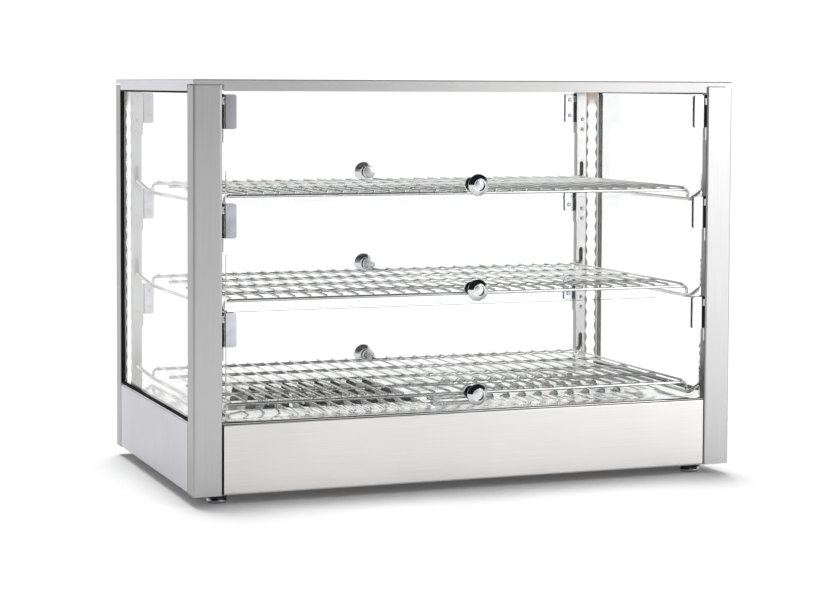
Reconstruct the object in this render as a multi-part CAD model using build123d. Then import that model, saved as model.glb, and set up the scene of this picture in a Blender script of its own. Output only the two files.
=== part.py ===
from build123d import *
import os

# Heated display case: origin under the middle of the case on the ground,
# +X to the right, -Y to the customer's side, +Z up, all lengths in millimetres.

# Case
WIDTH = 660.0
DEPTH = 380.0
HEIGHT = 470.0
SHEET = 1.2
BEND = 2.4
SEAM = 1.5
SMALL_ROUND_SIDES = 12

# Feet
FOOT_HEIGHT = 12.5
FOOT_DIAMETER = 25.0
FOOT_NECK = 11.0
FOOT_IN_X = 35.0
FOOT_IN_Y = 33.0

# Base
BASE_HEIGHT = 80.0
FLOOR_SHEET = 1.0
FLOOR_EDGE = 0.3
FLOOR_INSET = 0.5
PANEL_FLANGE = 12.0
TRAY_WALL = 14.0
TRAY_EASE = 0.1

# Corner posts
POST_FACE = 33.0
POST_SIDE = 25.0
POST_CHEEK = 12.0
POST_FLANGE = 13.0
POST_RETURN = 9.5

# Cover and ceiling
COVER_SKIRT = 13.0
COVER_LIP = 5.5
COVER_GAP = 1.3
CEILING_DROP = 5.5
CEILING_INSET = 3.0
HEM_INSET = 6.0

# Side windows
SIDE_GLASS = 4.0
SIDE_GLASS_EASE = 0.3
SEAL_WIDTH = 2.2
SEAL_DEPTH = 4.2
SEAL_SETBACK = 0.5

# Doors: three flaps on each long side
DOOR_LEVELS = 3
DOOR_GLASS = 5.0
DOOR_GAP = 1.7
DOOR_SETBACK = 2.5
DOOR_TOP_GAP = 3.0
DOOR_SILL_GAP = 4.1
CLIP_WIDTH = 12.6
CLIP_HEIGHT = 38.0
CLIP_PLATE = 1.4
CLIP_CORNER = 2.5
CLIP_DROP = 0.5
PIVOT_DROP = 7.5
PIVOT_INSET = 1.0
PIVOT_PIN = 4.0
PIN_CLEARANCE = 0.04
PIN_END_GAP = 0.2
STRAP = 1.5
STRAP_HEIGHT = 53.0
STRAP_ROOM = 1.0
CLIP_GAP = 1.9
KNOB_DIAMETER = 25.0
KNOB_LENGTH = 17.5
KNOB_WIDEST = 9.6
KNOB_FACE = 15.0
KNOB_NECK = 15.0
KNOB_STUD = 8.0
KNOB_CAP = 16.0
KNOB_CAP_LENGTH = 8.0
KNOB_RISE = 15.5

# Shelves and their rails
SHELF_RISE = 12.0
SHELF_STEP_LESS = 3.7
SHELF_END_GAP = 10.0
SHELF_SIDE_GAP = 18.0
LONG_WIRE = 4.0
LONG_WIRE_COUNT = 5
CROSS_WIRE = 2.6
CROSS_WIRE_COUNT = 31
LEG_BEND = 5.0
RAIL_WIRE = 4.5
RAIL_DROP = 11.0
RAIL_CRANK = 14.0
SEAT_GAP = 0.3
RAIL_CRANK_START = 10.0
RAIL_CRANK_END = 4.0
RAIL_TIP = 7.0
SLOT_CLEARANCE = 0.5
SLOT_HEIGHT = 22.0
SLOT_SEAT = 0.25

# Floor louvres
LOUVRE_LENGTH = 42.0
LOUVRE_WIDTH = 14.0
LOUVRE_HEIGHT = 5.0
LOUVRE_SKIN = 1.0
LOUVRE_TOE = 2.4
LOUVRE_PITCH = 21.0
LOUVRE_COLUMNS = 9
LOUVRE_ROW_PITCH = 70.0
LOUVRE_ROW_SHIFT = -8.0
LOUVRE_LEFT_START = -203.0
LOUVRE_RIGHT_START = 55.0

# Lamps
LENS_THICKNESS = 2.5
LENS_EASE = 0.1
LENS_TOP_GAP = 0.5
BOARD_WIDTH = 8.0
BOARD_THICKNESS = 1.6
BOARD_END_GAP = 8.0

# Heating and controls
HEATER_TUBE = 8.0
HEATER_LIFT = 34.0
HEATER_SPAN = 84.0
HEATER_TURN = 25.0
HEATER_END_GAP = 55.0
BRACKET_WIDTH = 14.0
BRACKET_FOOT = 12.0
BRACKET_Y = 74.0
CONTROL_X = 150.0
LAMP_STEP = 40.0
SWITCH_STEP = 72.0
SWITCH_PITCH = 34.0
GLAND_FROM_END = 55.5
VENT_COUNT = 6
VENT_PITCH = 16.0
VENT_WIDTH = 4.0
VENT_HEIGHT = 36.0
VENT_START = -150.0
THERMOSTAT_SIZE = 34.0
THERMOSTAT_DEPTH = 30.0
DIAL_DIAMETER = 36.0
DIAL_TOP_DIAMETER = 27.0
DIAL_LENGTH = 14.0
DIAL_SKIRT = 10.0
DIAL_RIM = 2.2
DIAL_DRAFT = 0.5
DIAL_SHAFT = 6.0
DIAL_SHAFT_GAP = 2.4
DIAL_GAP = 0.8
DIAL_GRIP = 8.0
DIAL_GRIP_LENGTH = 25.0
SWITCH_WIDTH = 22.0
SWITCH_HEIGHT = 30.0
SWITCH_FRAME = 1.5
SWITCH_WALL = 2.0
SWITCH_DEPTH = 24.0
SWITCH_WELL = 14.5
SWITCH_TILT = 10.0
ROCKER_CLEARANCE = 0.4
ROCKER_LIFT = 5.5
ROCKER_DISH = 2.2
ROCKER_DEEP = 7.0
ROCKER_HEEL = 10.4
GLAND_BORE = 9.0
GLAND_WALL = 2.9
GLAND_LENGTH = 14.0
GLAND_STEM = 10.0
GLAND_NUT_WALL = 3.7
GLAND_NUT_LENGTH = 6.3
GLAND_CAP_WALL = 1.5
LAMP_DIAMETER = 10.0
LAMP_HEIGHT = 5.0
LAMP_TIP = 7.0
LAMP_BEZEL = 1.5
LAMP_DRAFT = 0.5
LAMP_STEM = 12.0
LAMP_SHOULDER = 1.0
HOLE_CLEARANCE = 0.2
TERMINAL_FROM_GLAND = 60.0
TERMINAL_FROM_REAR = 70.0
TERMINAL_LENGTH = 50.0
TERMINAL_DEPTH = 20.0
TERMINAL_HEIGHT = 16.0
TERMINAL_NOTCH = 8.3
TERMINAL_PITCH = 15.6
SUPPLY_FROM_REAR = 85.0
SUPPLY_WIDTH = 50.0
SUPPLY_LENGTH = 90.0
SUPPLY_HEIGHT = 24.0
SUPPLY_EDGE = 2.0

# Sensing bulb of the thermostat, in two clips on the floor
PROBE_DIAMETER = 6.0
PROBE_LENGTH = 71.0
PROBE_TIP = 1.5
PROBE_X = 9.5
PROBE_FROM_FRONT = 85.0
PROBE_CLIP_WIDTH = 6.0
PROBE_CLIP_WALL = 1.5
PROBE_CLIP_GRIP = 2.0
PROBE_CLIP_IN = 9.0
CAPILLARY = 2.0
CAPILLARY_BEND = 4.0
CAPILLARY_CLEARANCE = 0.5
CAPILLARY_TAIL = 8.0
CAPILLARY_LIFT = 8.0
CAPILLARY_SIDE = 8.0
CAPILLARY_LEAD = 12.0

# Levels and half sizes that follow from the above
HALF_X = WIDTH / 2
HALF_Y = DEPTH / 2
CASE_BOTTOM = FOOT_HEIGHT
FLOOR_TOP = CASE_BOTTOM + BASE_HEIGHT
PANEL_TOP = FLOOR_TOP - FLOOR_SHEET
TRAY_BOTTOM = CASE_BOTTOM + SHEET
TRAY_TOP = TRAY_BOTTOM + SHEET
COVER_BOTTOM = HEIGHT - COVER_SKIRT
POST_TOP = HEIGHT - COVER_LIP - COVER_GAP
CHEEK_X = HALF_X - POST_FACE
FLANGE_Y = HALF_Y - POST_CHEEK
SIDE_Y = HALF_Y - POST_SIDE
DOOR_TOP = COVER_BOTTOM - DOOR_TOP_GAP
DOOR_BOTTOM = FLOOR_TOP + DOOR_SILL_GAP
DOOR_PITCH = (DOOR_TOP - DOOR_BOTTOM + DOOR_GAP) / DOOR_LEVELS
DOOR_HEIGHT = DOOR_PITCH - DOOR_GAP
CLIP_END = CHEEK_X - STRAP - CLIP_GAP
DOOR_HALF_X = CLIP_END - CLIP_PLATE
GLASS_OUT = HALF_Y - DOOR_SETBACK
GLASS_IN = GLASS_OUT - DOOR_GLASS
PIVOT_Y = GLASS_OUT - DOOR_GLASS / 2 - PIVOT_INSET
SHELF_PITCH = DOOR_PITCH - SHELF_STEP_LESS
SHELF_HALF_LENGTH = CHEEK_X - SHELF_END_GAP
SHELF_HALF_DEPTH = FLANGE_Y - SHELF_SIDE_GAP
RAIL_X = SHELF_HALF_LENGTH
SLOT_X = CHEEK_X + POST_FLANGE / 2
SLOT_WIDTH = RAIL_WIRE + 2 * SLOT_CLEARANCE
SLOT_CORNER = SLOT_WIDTH * (1 - 0.5 ** 0.5)
CONTROL_Z = (CASE_BOTTOM + PANEL_TOP) / 2
PANEL_BACK = HALF_Y - SHEET
PROBE_Y = PROBE_FROM_FRONT - HALF_Y
PROBE_Z = FLOOR_TOP + PROBE_CLIP_WALL + PROBE_DIAMETER / 2
PROBE_END = PROBE_X + PROBE_LENGTH / 2
CAPILLARY_HOLE_X = PROBE_END + CAPILLARY_TAIL

LEVELS = ("bottom", "middle", "top")
os.makedirs("parts", exist_ok=True)


def block(x0, x1, y0, y1, z0, z1):
    """Solid box between two opposite corners."""
    centre = Pos((x0 + x1) / 2, (y0 + y1) / 2, (z0 + z1) / 2)
    return centre * Box(x1 - x0, y1 - y0, z1 - z0)


def folded(points, thickness, radii=0.0):
    """Cross-section of a folded sheet whose outside follows the points."""
    line = FilletPolyline(*points, radius=radii)
    outline = offset(line, amount=thickness, side=Side.RIGHT, kind=Kind.INTERSECTION, closed=True)
    return make_face(outline)


def polygon(points):
    """Flat face through the points."""
    return make_face(Polyline(*points, close=True))


def octagon(diameter):
    """Eight flats round a circle, one of them level."""
    return RegularPolygon(diameter / 2, 8, major_radius=False, rotation=22.5)


def small_round(diameter):
    """A small circle with few flats, its corners on the diameter."""
    return RegularPolygon(diameter / 2, SMALL_ROUND_SIDES)


def corner(u, v):
    """Plan point measured in from the rear right corner of the case."""
    return (HALF_X - u, HALF_Y - v)


def four_corners(solid):
    """The rear right piece and its mirror images at the other corners."""
    rear_left = mirror(solid, about=Plane.YZ)
    return {
        "rear_right": solid,
        "rear_left": rear_left,
        "front_right": mirror(solid, about=Plane.XZ),
        "front_left": mirror(rear_left, about=Plane.XZ),
    }


def solids_of(shape):
    """All solids in a shape or in a list of shapes."""
    if isinstance(shape, (list, tuple)):
        return [solid for item in shape for solid in item.solids()]
    return list(shape.solids())


def save(name, shape):
    """Write one node; several solids go out as one compound."""
    solids = solids_of(shape)
    body = solids[0] if len(solids) == 1 else Compound(solids)
    export_step(body, "parts/" + name + ".step")


def shelf_height(level):
    """Height of the long wires' centre line, counted from the bottom."""
    return DOOR_BOTTOM + SHELF_RISE + level * SHELF_PITCH


def door_top(level):
    """Upper edge of a door, counted from the bottom."""
    return DOOR_BOTTOM + level * DOOR_PITCH + DOOR_HEIGHT


# Corner posts: an open folded section with slots for the shelf rails
def make_post():
    section = folded(
        [
            corner(POST_FACE - POST_FLANGE, POST_CHEEK),
            corner(POST_FACE, POST_CHEEK),
            corner(POST_FACE, 0),
            corner(0, 0),
            corner(0, POST_SIDE),
            corner(POST_RETURN, POST_SIDE),
        ],
        SHEET,
        (0, BEND, BEND, 0),
    )
    post = extrude(Pos(0, 0, CASE_BOTTOM) * section, POST_TOP - CASE_BOTTOM)
    for level in range(DOOR_LEVELS):
        hook = shelf_height(level) - RAIL_DROP + RAIL_CRANK
        middle = hook - RAIL_WIRE / 2 - SLOT_SEAT + SLOT_HEIGHT / 2
        slot = chamfer(Rectangle(SLOT_WIDTH, SLOT_HEIGHT).vertices(), SLOT_CORNER)
        face = Plane(origin=(SLOT_X, FLANGE_Y, middle), x_dir=(1, 0, 0), z_dir=(0, 1, 0)) * slot
        post -= extrude(face, 2 * SHEET, both=True)
    return post


for place, solid in four_corners(make_post()).items():
    save("post_" + place, solid)


# Lamp lenses bridge the open corner of each post, with the lamp strip behind
LENS_NEAR = POST_RETURN + LENS_EASE
LENS_FAR = POST_FACE - POST_FLANGE - LENS_EASE
LENS_RUN = LENS_FAR - LENS_NEAR
LENS_RISE = POST_SIDE - POST_CHEEK
LENS_SLANT = (LENS_RUN ** 2 + LENS_RISE ** 2) ** 0.5
LENS_INSET = LENS_THICKNESS * LENS_SLANT / LENS_RUN
lens_face = polygon([
    corner(LENS_FAR, POST_CHEEK),
    corner(LENS_NEAR, POST_SIDE),
    corner(LENS_NEAR, POST_SIDE - LENS_INSET),
    corner(LENS_FAR, POST_CHEEK - LENS_INSET),
])
LENS_BOTTOM = FLOOR_TOP
LENS_TOP = COVER_BOTTOM - LENS_TOP_GAP
lens = extrude(Pos(0, 0, LENS_BOTTOM) * lens_face, LENS_TOP - LENS_BOTTOM)

board_u = (LENS_NEAR + LENS_FAR) / 2
board_v = (POST_SIDE + POST_CHEEK) / 2 - LENS_INSET
normal_u = LENS_RISE / LENS_SLANT
normal_v = LENS_RUN / LENS_SLANT
along_u = LENS_RUN / LENS_SLANT * BOARD_WIDTH / 2
along_v = -LENS_RISE / LENS_SLANT * BOARD_WIDTH / 2
deep_u = normal_u * BOARD_THICKNESS
deep_v = normal_v * BOARD_THICKNESS
board_face = polygon([
    corner(board_u + along_u, board_v + along_v),
    corner(board_u - along_u, board_v - along_v),
    corner(board_u - along_u - deep_u, board_v - along_v - deep_v),
    corner(board_u + along_u - deep_u, board_v + along_v - deep_v),
])
board_length = LENS_TOP - LENS_BOTTOM - 2 * BOARD_END_GAP
board = extrude(Pos(0, 0, LENS_BOTTOM + BOARD_END_GAP) * board_face, board_length)
save("lamp_lenses", list(four_corners(lens).values()))
save("lamp_strips", list(four_corners(board).values()))


# Base panels: folded channels between the posts
def base_panel_profile(outer):
    inner = outer - PANEL_FLANGE
    return [(inner, PANEL_TOP), (outer, PANEL_TOP), (outer, CASE_BOTTOM), (inner, CASE_BOTTOM)]


PANEL_HALF_X = CHEEK_X - SEAM
PANEL_HALF_Y = SIDE_Y - SEAM
side_section = folded(base_panel_profile(HALF_X), SHEET, BEND)
side_panel = extrude(Plane.XZ.offset(-PANEL_HALF_Y) * side_section, 2 * PANEL_HALF_Y)
long_section = folded(base_panel_profile(HALF_Y), SHEET, BEND)
rear_panel = extrude(Plane.YZ.offset(-PANEL_HALF_X) * long_section, 2 * PANEL_HALF_X)
front_panel = mirror(rear_panel, about=Plane.XZ)
save("base_panel_right", side_panel)
save("base_panel_left", mirror(side_panel, about=Plane.YZ))
save("base_panel_front", front_panel)

# Controls sit on the rear base panel, seen from behind
LAMP_X = CONTROL_X - LAMP_STEP
SWITCH_X = (CONTROL_X - SWITCH_STEP, CONTROL_X - SWITCH_STEP - SWITCH_PITCH)
GLAND_X = GLAND_FROM_END - PANEL_HALF_X
CUT_X = SWITCH_WIDTH - 2 * SWITCH_FRAME
CUT_Z = SWITCH_HEIGHT - 2 * SWITCH_FRAME
STEM_RADIUS = LAMP_DIAMETER / 2 - LAMP_SHOULDER


def behind(x, z, y):
    """Plane square to the rear panel, its normal pointing out of the case."""
    return Plane(origin=(x, y, z), x_dir=(-1, 0, 0), z_dir=(0, 1, 0))


def panel_cut(x, outline):
    """Hole of the given outline through the rear panel at control height."""
    return extrude(behind(x, CONTROL_Z, HALF_Y - SHEET / 2) * outline, SHEET, both=True)


rear_panel -= panel_cut(CONTROL_X, octagon(DIAL_SHAFT + 4 * HOLE_CLEARANCE))
rear_panel -= panel_cut(LAMP_X, octagon(2 * (STEM_RADIUS + HOLE_CLEARANCE)))
rear_panel -= panel_cut(GLAND_X, octagon(GLAND_BORE + 2 * GLAND_WALL + 2 * HOLE_CLEARANCE))
for x in SWITCH_X:
    rear_panel -= panel_cut(x, Rectangle(CUT_X, CUT_Z))
for i in range(VENT_COUNT):
    rear_panel -= panel_cut(VENT_START + i * VENT_PITCH, Rectangle(VENT_WIDTH, VENT_HEIGHT))
save("base_panel_rear", rear_panel)

# Base tray: cross-shaped plate with a raised wall, on the panels' flanges
TRAY_X = HALF_X - BEND - TRAY_EASE
TRAY_Y = HALF_Y - BEND - TRAY_EASE


def tray_outline(inset):
    long_x = TRAY_X - inset
    long_y = TRAY_Y - inset
    post_x = CHEEK_X - inset
    post_y = SIDE_Y - inset
    quarter = [(long_x, post_y), (post_x, post_y), (post_x, long_y)]
    left = [(-x, y) for x, y in reversed(quarter)]
    upper = quarter + left
    lower = [(x, -y) for x, y in reversed(upper)]
    return polygon(upper + lower)


tray = extrude(Pos(0, 0, TRAY_BOTTOM) * tray_outline(0), TRAY_WALL)
tray -= extrude(Pos(0, 0, TRAY_TOP) * tray_outline(SHEET), TRAY_WALL)
save("base_tray", tray)


# Floor plate with pressed louvres, cut round the posts and the lenses
def floor_outline():
    quarter = [
        corner(FLOOR_INSET, POST_SIDE + FLOOR_EDGE),
        corner(LENS_NEAR - 2 * LENS_EASE, POST_SIDE + FLOOR_EDGE),
        corner(LENS_FAR + LENS_EASE, POST_CHEEK + FLOOR_EDGE),
        corner(POST_FACE + FLOOR_EDGE, POST_CHEEK + FLOOR_EDGE),
        corner(POST_FACE + FLOOR_EDGE, FLOOR_INSET),
    ]
    left = [(-x, y) for x, y in reversed(quarter)]
    upper = quarter + left
    lower = [(x, -y) for x, y in reversed(upper)]
    return polygon(upper + lower)


def louvre_prism(height, width, length, drop):
    """Hood shape with its open edge at x = 0, sloping down to x = width."""
    side = polygon([(0, height), (width, 0), (width, -drop), (0, -drop)])
    return extrude(Plane.XZ.offset(-length / 2) * side, length)


hood = louvre_prism(LOUVRE_HEIGHT, LOUVRE_WIDTH, LOUVRE_LENGTH, FLOOR_SHEET)
hollow_height = LOUVRE_HEIGHT - LOUVRE_SKIN
hollow_width = LOUVRE_WIDTH - LOUVRE_TOE
hollow_length = LOUVRE_LENGTH - 2 * LOUVRE_SKIN
hollow = louvre_prism(hollow_height, hollow_width, hollow_length, 3 * FLOOR_SHEET)
hood_left = hood - hollow
hood_right = mirror(hood_left, about=Plane.YZ)
hollow_right = mirror(hollow, about=Plane.YZ)
hoods = []
hollows = []
for row in (-1, 0, 1):
    y = LOUVRE_ROW_SHIFT + row * LOUVRE_ROW_PITCH
    for column in range(LOUVRE_COLUMNS):
        step = column * LOUVRE_PITCH
        left_place = Pos(LOUVRE_LEFT_START + step - LOUVRE_WIDTH / 2, y, FLOOR_TOP)
        right_place = Pos(LOUVRE_RIGHT_START + step + LOUVRE_WIDTH / 2, y, FLOOR_TOP)
        hoods += [left_place * hood_left, right_place * hood_right]
        hollows += [left_place * hollow, right_place * hollow_right]
floor = extrude(Pos(0, 0, PANEL_TOP) * floor_outline(), FLOOR_SHEET)
floor = floor - hollows
floor = floor + hoods
capillary_hole = octagon(CAPILLARY + 2 * CAPILLARY_CLEARANCE)
floor -= extrude(Pos(CAPILLARY_HOLE_X, PROBE_Y, PANEL_TOP) * capillary_hole, FLOOR_SHEET)
save("floor_plate", floor)

# Side windows between the posts, each with a dark ring seal on its outside
SEAL_OUT = HALF_X - SEAL_SETBACK
SEAL_IN = SEAL_OUT - SEAL_DEPTH
WINDOW_IN = SEAL_IN - SIDE_GLASS
WINDOW_Y = SIDE_Y - SIDE_GLASS_EASE
WINDOW_TOP = COVER_BOTTOM - SIDE_GLASS_EASE
seal = block(SEAL_IN, SEAL_OUT, -SIDE_Y, SIDE_Y, FLOOR_TOP, COVER_BOTTOM)
seal -= block(SEAL_IN - 1, SEAL_OUT + 1, -SIDE_Y + SEAL_WIDTH, SIDE_Y - SEAL_WIDTH,
              FLOOR_TOP + SEAL_WIDTH, COVER_BOTTOM - SEAL_WIDTH)
window = block(WINDOW_IN, SEAL_IN, -WINDOW_Y, WINDOW_Y, FLOOR_TOP, WINDOW_TOP)
save("side_seal_right", seal)
save("side_seal_left", mirror(seal, about=Plane.YZ))
save("side_glass_right", window)
save("side_glass_left", mirror(window, about=Plane.YZ))

# Cover: a shallow folded lid with its corners cut away over the posts
NOTCH_X = POST_FACE + SEAM
NOTCH_Y = POST_SIDE + SEAM
cover = block(-HALF_X, HALF_X, -HALF_Y, HALF_Y, COVER_BOTTOM, HEIGHT)
cover = chamfer(cover.edges().group_by(Axis.Z)[-1], SHEET)
cover -= block(-HALF_X + SHEET, HALF_X - SHEET, -HALF_Y + SHEET, HALF_Y - SHEET,
               COVER_BOTTOM - 1, HEIGHT - SHEET)
for sx in (-1, 1):
    for sy in (-1, 1):
        notch = Box(2 * NOTCH_X, 2 * NOTCH_Y, 2 * (COVER_SKIRT - COVER_LIP))
        cover -= Pos(sx * HALF_X, sy * HALF_Y, COVER_BOTTOM) * notch
save("top_cover", cover)

# Ceiling: a sunk panel hung on the post tops, its hem carries the cover
HEM_X = HALF_X - HEM_INSET
HEM_Y = HALF_Y - HEM_INSET
SUNK_X = CHEEK_X - CEILING_INSET
SUNK_Y = SIDE_Y - CEILING_INSET
CEILING_BOTTOM = POST_TOP - CEILING_DROP
ceiling = block(-HEM_X, HEM_X, -HEM_Y, HEM_Y, POST_TOP, HEIGHT - SHEET)
ceiling -= block(-HEM_X + SHEET, HEM_X - SHEET, -HEM_Y + SHEET, HEM_Y - SHEET, POST_TOP + SHEET, HEIGHT)
ceiling += block(-SUNK_X, SUNK_X, -SUNK_Y, SUNK_Y, CEILING_BOTTOM, POST_TOP + SHEET)
ceiling -= block(-SUNK_X + SHEET, SUNK_X - SHEET, -SUNK_Y + SHEET, SUNK_Y - SHEET,
                 CEILING_BOTTOM + SHEET, HEIGHT)
save("ceiling_panel", ceiling)

# Feet: discs on short necks under the tray
foot_radius = FOOT_DIAMETER / 2
foot = extrude(Circle(foot_radius), FOOT_HEIGHT)
foot += extrude(Pos(0, 0, FOOT_HEIGHT) * octagon(FOOT_NECK), TRAY_BOTTOM - FOOT_HEIGHT)
foot_place = Pos(HALF_X - FOOT_IN_X, HALF_Y - FOOT_IN_Y, 0)
save("feet", list(four_corners(foot_place * foot).values()))

# Hinge straps: folded plates on the posts with a hole for the clip's pin
STRAP_X = CHEEK_X - STRAP
STRAP_END = CHEEK_X + POST_FLANGE - STRAP_ROOM
STRAP_FRONT = PIVOT_Y + PIVOT_PIN
straps = []
for level in range(DOOR_LEVELS):
    top = door_top(level)
    bottom = top - STRAP_HEIGHT
    strap_line = [(STRAP_X, STRAP_FRONT), (STRAP_X, FLANGE_Y - STRAP), (STRAP_END, FLANGE_Y - STRAP)]
    strap_section = make_face(offset(Polyline(*strap_line), amount=STRAP, side=Side.LEFT,
                                     kind=Kind.INTERSECTION, closed=True))
    strap = extrude(Pos(0, 0, bottom) * strap_section, STRAP_HEIGHT)
    pivot = Plane(origin=(STRAP_X, PIVOT_Y, top - PIVOT_DROP), z_dir=(1, 0, 0))
    strap -= extrude(pivot * octagon(PIVOT_PIN + 2 * PIN_CLEARANCE), STRAP)
    straps += four_corners(strap).values()
save("hinge_straps", straps)


# Doors: a glass flap, two hinge clips with pins, and a knob
def make_door_glass(top):
    sheet = block(-DOOR_HALF_X, DOOR_HALF_X, GLASS_IN, GLASS_OUT, top - DOOR_HEIGHT, top)
    knob_z = top - DOOR_HEIGHT + KNOB_RISE
    return sheet - extrude(behind(0, knob_z, GLASS_IN) * octagon(KNOB_STUD), DOOR_GLASS)


def make_clip(top):
    clip_top = top - CLIP_DROP
    bottom = clip_top - CLIP_HEIGHT
    inner = CLIP_END - CLIP_WIDTH
    section = folded(
        [
            (inner, GLASS_OUT + CLIP_PLATE),
            (CLIP_END, GLASS_OUT + CLIP_PLATE),
            (CLIP_END, GLASS_IN - CLIP_PLATE),
            (inner, GLASS_IN - CLIP_PLATE),
        ],
        CLIP_PLATE,
    )
    clip = extrude(Pos(0, 0, bottom) * section, CLIP_HEIGHT)
    clip = chamfer(clip.edges().filter_by(Axis.Y).group_by(Axis.X)[0], CLIP_CORNER)
    pivot = Plane(origin=(CLIP_END, PIVOT_Y, top - PIVOT_DROP), z_dir=(1, 0, 0))
    return clip + extrude(pivot * small_round(PIVOT_PIN), CHEEK_X - PIN_END_GAP - CLIP_END)


knob_radius = KNOB_DIAMETER / 2
knob_profile = polygon([
    (0, 0),
    (KNOB_NECK / 2, 0),
    (knob_radius, KNOB_WIDEST),
    (KNOB_FACE / 2, KNOB_LENGTH),
    (0, KNOB_LENGTH),
])
knob_turned = revolve(Plane.XZ * knob_profile, axis=Axis.Z)
knob_turned += extrude(octagon(KNOB_STUD), -DOOR_GLASS)
knob_cap = extrude(Pos(0, 0, -DOOR_GLASS) * small_round(KNOB_CAP), -KNOB_CAP_LENGTH)

for level, level_name in enumerate(LEVELS):
    top = door_top(level)
    knob_place = Location(behind(0, top - DOOR_HEIGHT + KNOB_RISE, GLASS_OUT))
    clip = make_clip(top)
    rear = {
        "glass": [make_door_glass(top)],
        "clips": [clip, mirror(clip, about=Plane.YZ)],
        "knob": [knob_place * knob_turned, knob_place * knob_cap],
    }
    for piece, solids in rear.items():
        save("rear_door_" + level_name + "_" + piece, solids)
        save("front_door_" + level_name + "_" + piece, [mirror(s, about=Plane.XZ) for s in solids])


# Shelves: wire grids whose flats meet where the wires are welded
SECTION_X = (1, 0, 0)


def bent_wire(points, section):
    """Wire of a flat-sided section along the points, mitred where it turns."""
    path = Polyline(*points)
    start = Plane(origin=points[0], x_dir=SECTION_X, z_dir=path % 0)
    return sweep(start * section, path=path, transition=Transition.RIGHT)


def make_shelf(height):
    leg_foot = height - RAIL_DROP + RAIL_WIRE / 2 + SEAT_GAP
    half = SHELF_HALF_LENGTH
    wires = []
    for i in range(LONG_WIRE_COUNT):
        y = -SHELF_HALF_DEPTH + i * 2 * SHELF_HALF_DEPTH / (LONG_WIRE_COUNT - 1)
        if i in (0, LONG_WIRE_COUNT - 1):
            right = [(half - LEG_BEND, y, height), (half, y, height - LEG_BEND), (half, y, leg_foot)]
            left = [(-x, y, z) for x, y, z in reversed(right)]
            wires.append(bent_wire(left + right, octagon(LONG_WIRE)))
        else:
            start = Plane(origin=(-half, y, height), x_dir=(0, 1, 0), z_dir=(1, 0, 0))
            wires.append(extrude(start * octagon(LONG_WIRE), 2 * half))
    cross_z = height + (LONG_WIRE + CROSS_WIRE) / 2
    reach = SHELF_HALF_DEPTH + LONG_WIRE / 2
    spread = half - LEG_BEND - CROSS_WIRE / 2
    hexagon = RegularPolygon(CROSS_WIRE / 2, 6, major_radius=False, rotation=30)
    for i in range(CROSS_WIRE_COUNT):
        x = -spread + i * 2 * spread / (CROSS_WIRE_COUNT - 1)
        start = Plane(origin=(x, -reach, cross_z), x_dir=(1, 0, 0), z_dir=(0, 1, 0))
        wires.append(extrude(start * hexagon, 2 * reach))
    return wires


for level, level_name in enumerate(LEVELS):
    save("shelf_" + level_name, make_shelf(shelf_height(level)))

# Rails: bent wires whose cranked ends hook into the post slots
rails = []
for level in range(DOOR_LEVELS):
    low = shelf_height(level) - RAIL_DROP
    high = low + RAIL_CRANK
    rear_end = [
        (RAIL_X, FLANGE_Y - RAIL_CRANK_START, low),
        (SLOT_X, FLANGE_Y - RAIL_CRANK_END, high),
        (SLOT_X, FLANGE_Y + RAIL_TIP, high),
    ]
    front_end = [(x, -y, z) for x, y, z in reversed(rear_end)]
    rails.append(bent_wire(front_end + rear_end, octagon(RAIL_WIRE)))
save("shelf_rails_right", rails)
save("shelf_rails_left", [mirror(rail, about=Plane.YZ) for rail in rails])

# Heating: a hairpin tube on each side of the base, on two hat brackets
HEATER_X = LOUVRE_RIGHT_START + LOUVRE_PITCH * (LOUVRE_COLUMNS - 1) / 2
HEATER_Z = TRAY_TOP + HEATER_LIFT
HEATER_HALF = HALF_Y - HEATER_END_GAP
half_span = HEATER_SPAN / 2
hairpin = [
    (HEATER_X - half_span, HEATER_HALF, HEATER_Z),
    (HEATER_X - half_span, HEATER_TURN - HEATER_HALF, HEATER_Z),
    (HEATER_X - half_span + HEATER_TURN, -HEATER_HALF, HEATER_Z),
    (HEATER_X + half_span - HEATER_TURN, -HEATER_HALF, HEATER_Z),
    (HEATER_X + half_span, HEATER_TURN - HEATER_HALF, HEATER_Z),
    (HEATER_X + half_span, HEATER_HALF, HEATER_Z),
]
tube = bent_wire(hairpin, octagon(HEATER_TUBE))
save("heater_right", tube)
save("heater_left", mirror(tube, about=Plane.YZ))

hat_top = HEATER_Z - HEATER_TUBE / 2
hat_half = half_span + HEATER_TUBE
hat_line = [
    (-hat_half - BRACKET_FOOT, TRAY_TOP + SHEET),
    (-hat_half, TRAY_TOP + SHEET),
    (-hat_half, hat_top),
    (hat_half, hat_top),
    (hat_half, TRAY_TOP + SHEET),
    (hat_half + BRACKET_FOOT, TRAY_TOP + SHEET),
]
hat = extrude(Plane.XZ * folded(hat_line, SHEET), BRACKET_WIDTH / 2, both=True)
brackets = [
    Pos(sx * HEATER_X, sy * BRACKET_Y, 0) * hat
    for sx in (-1, 1)
    for sy in (-1, 1)
]
save("heater_brackets", brackets)

# Thermostat: body behind the panel, shaft through it, dial outside
half_size = THERMOSTAT_SIZE / 2
thermostat = block(CONTROL_X - half_size, CONTROL_X + half_size, PANEL_BACK - THERMOSTAT_DEPTH, PANEL_BACK,
                   CONTROL_Z - half_size, CONTROL_Z + half_size)
shaft_length = SHEET + DIAL_GAP + DIAL_SKIRT - DIAL_SHAFT_GAP
thermostat += extrude(behind(CONTROL_X, CONTROL_Z, PANEL_BACK) * Circle(DIAL_SHAFT / 2), shaft_length)
save("thermostat", thermostat)

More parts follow.
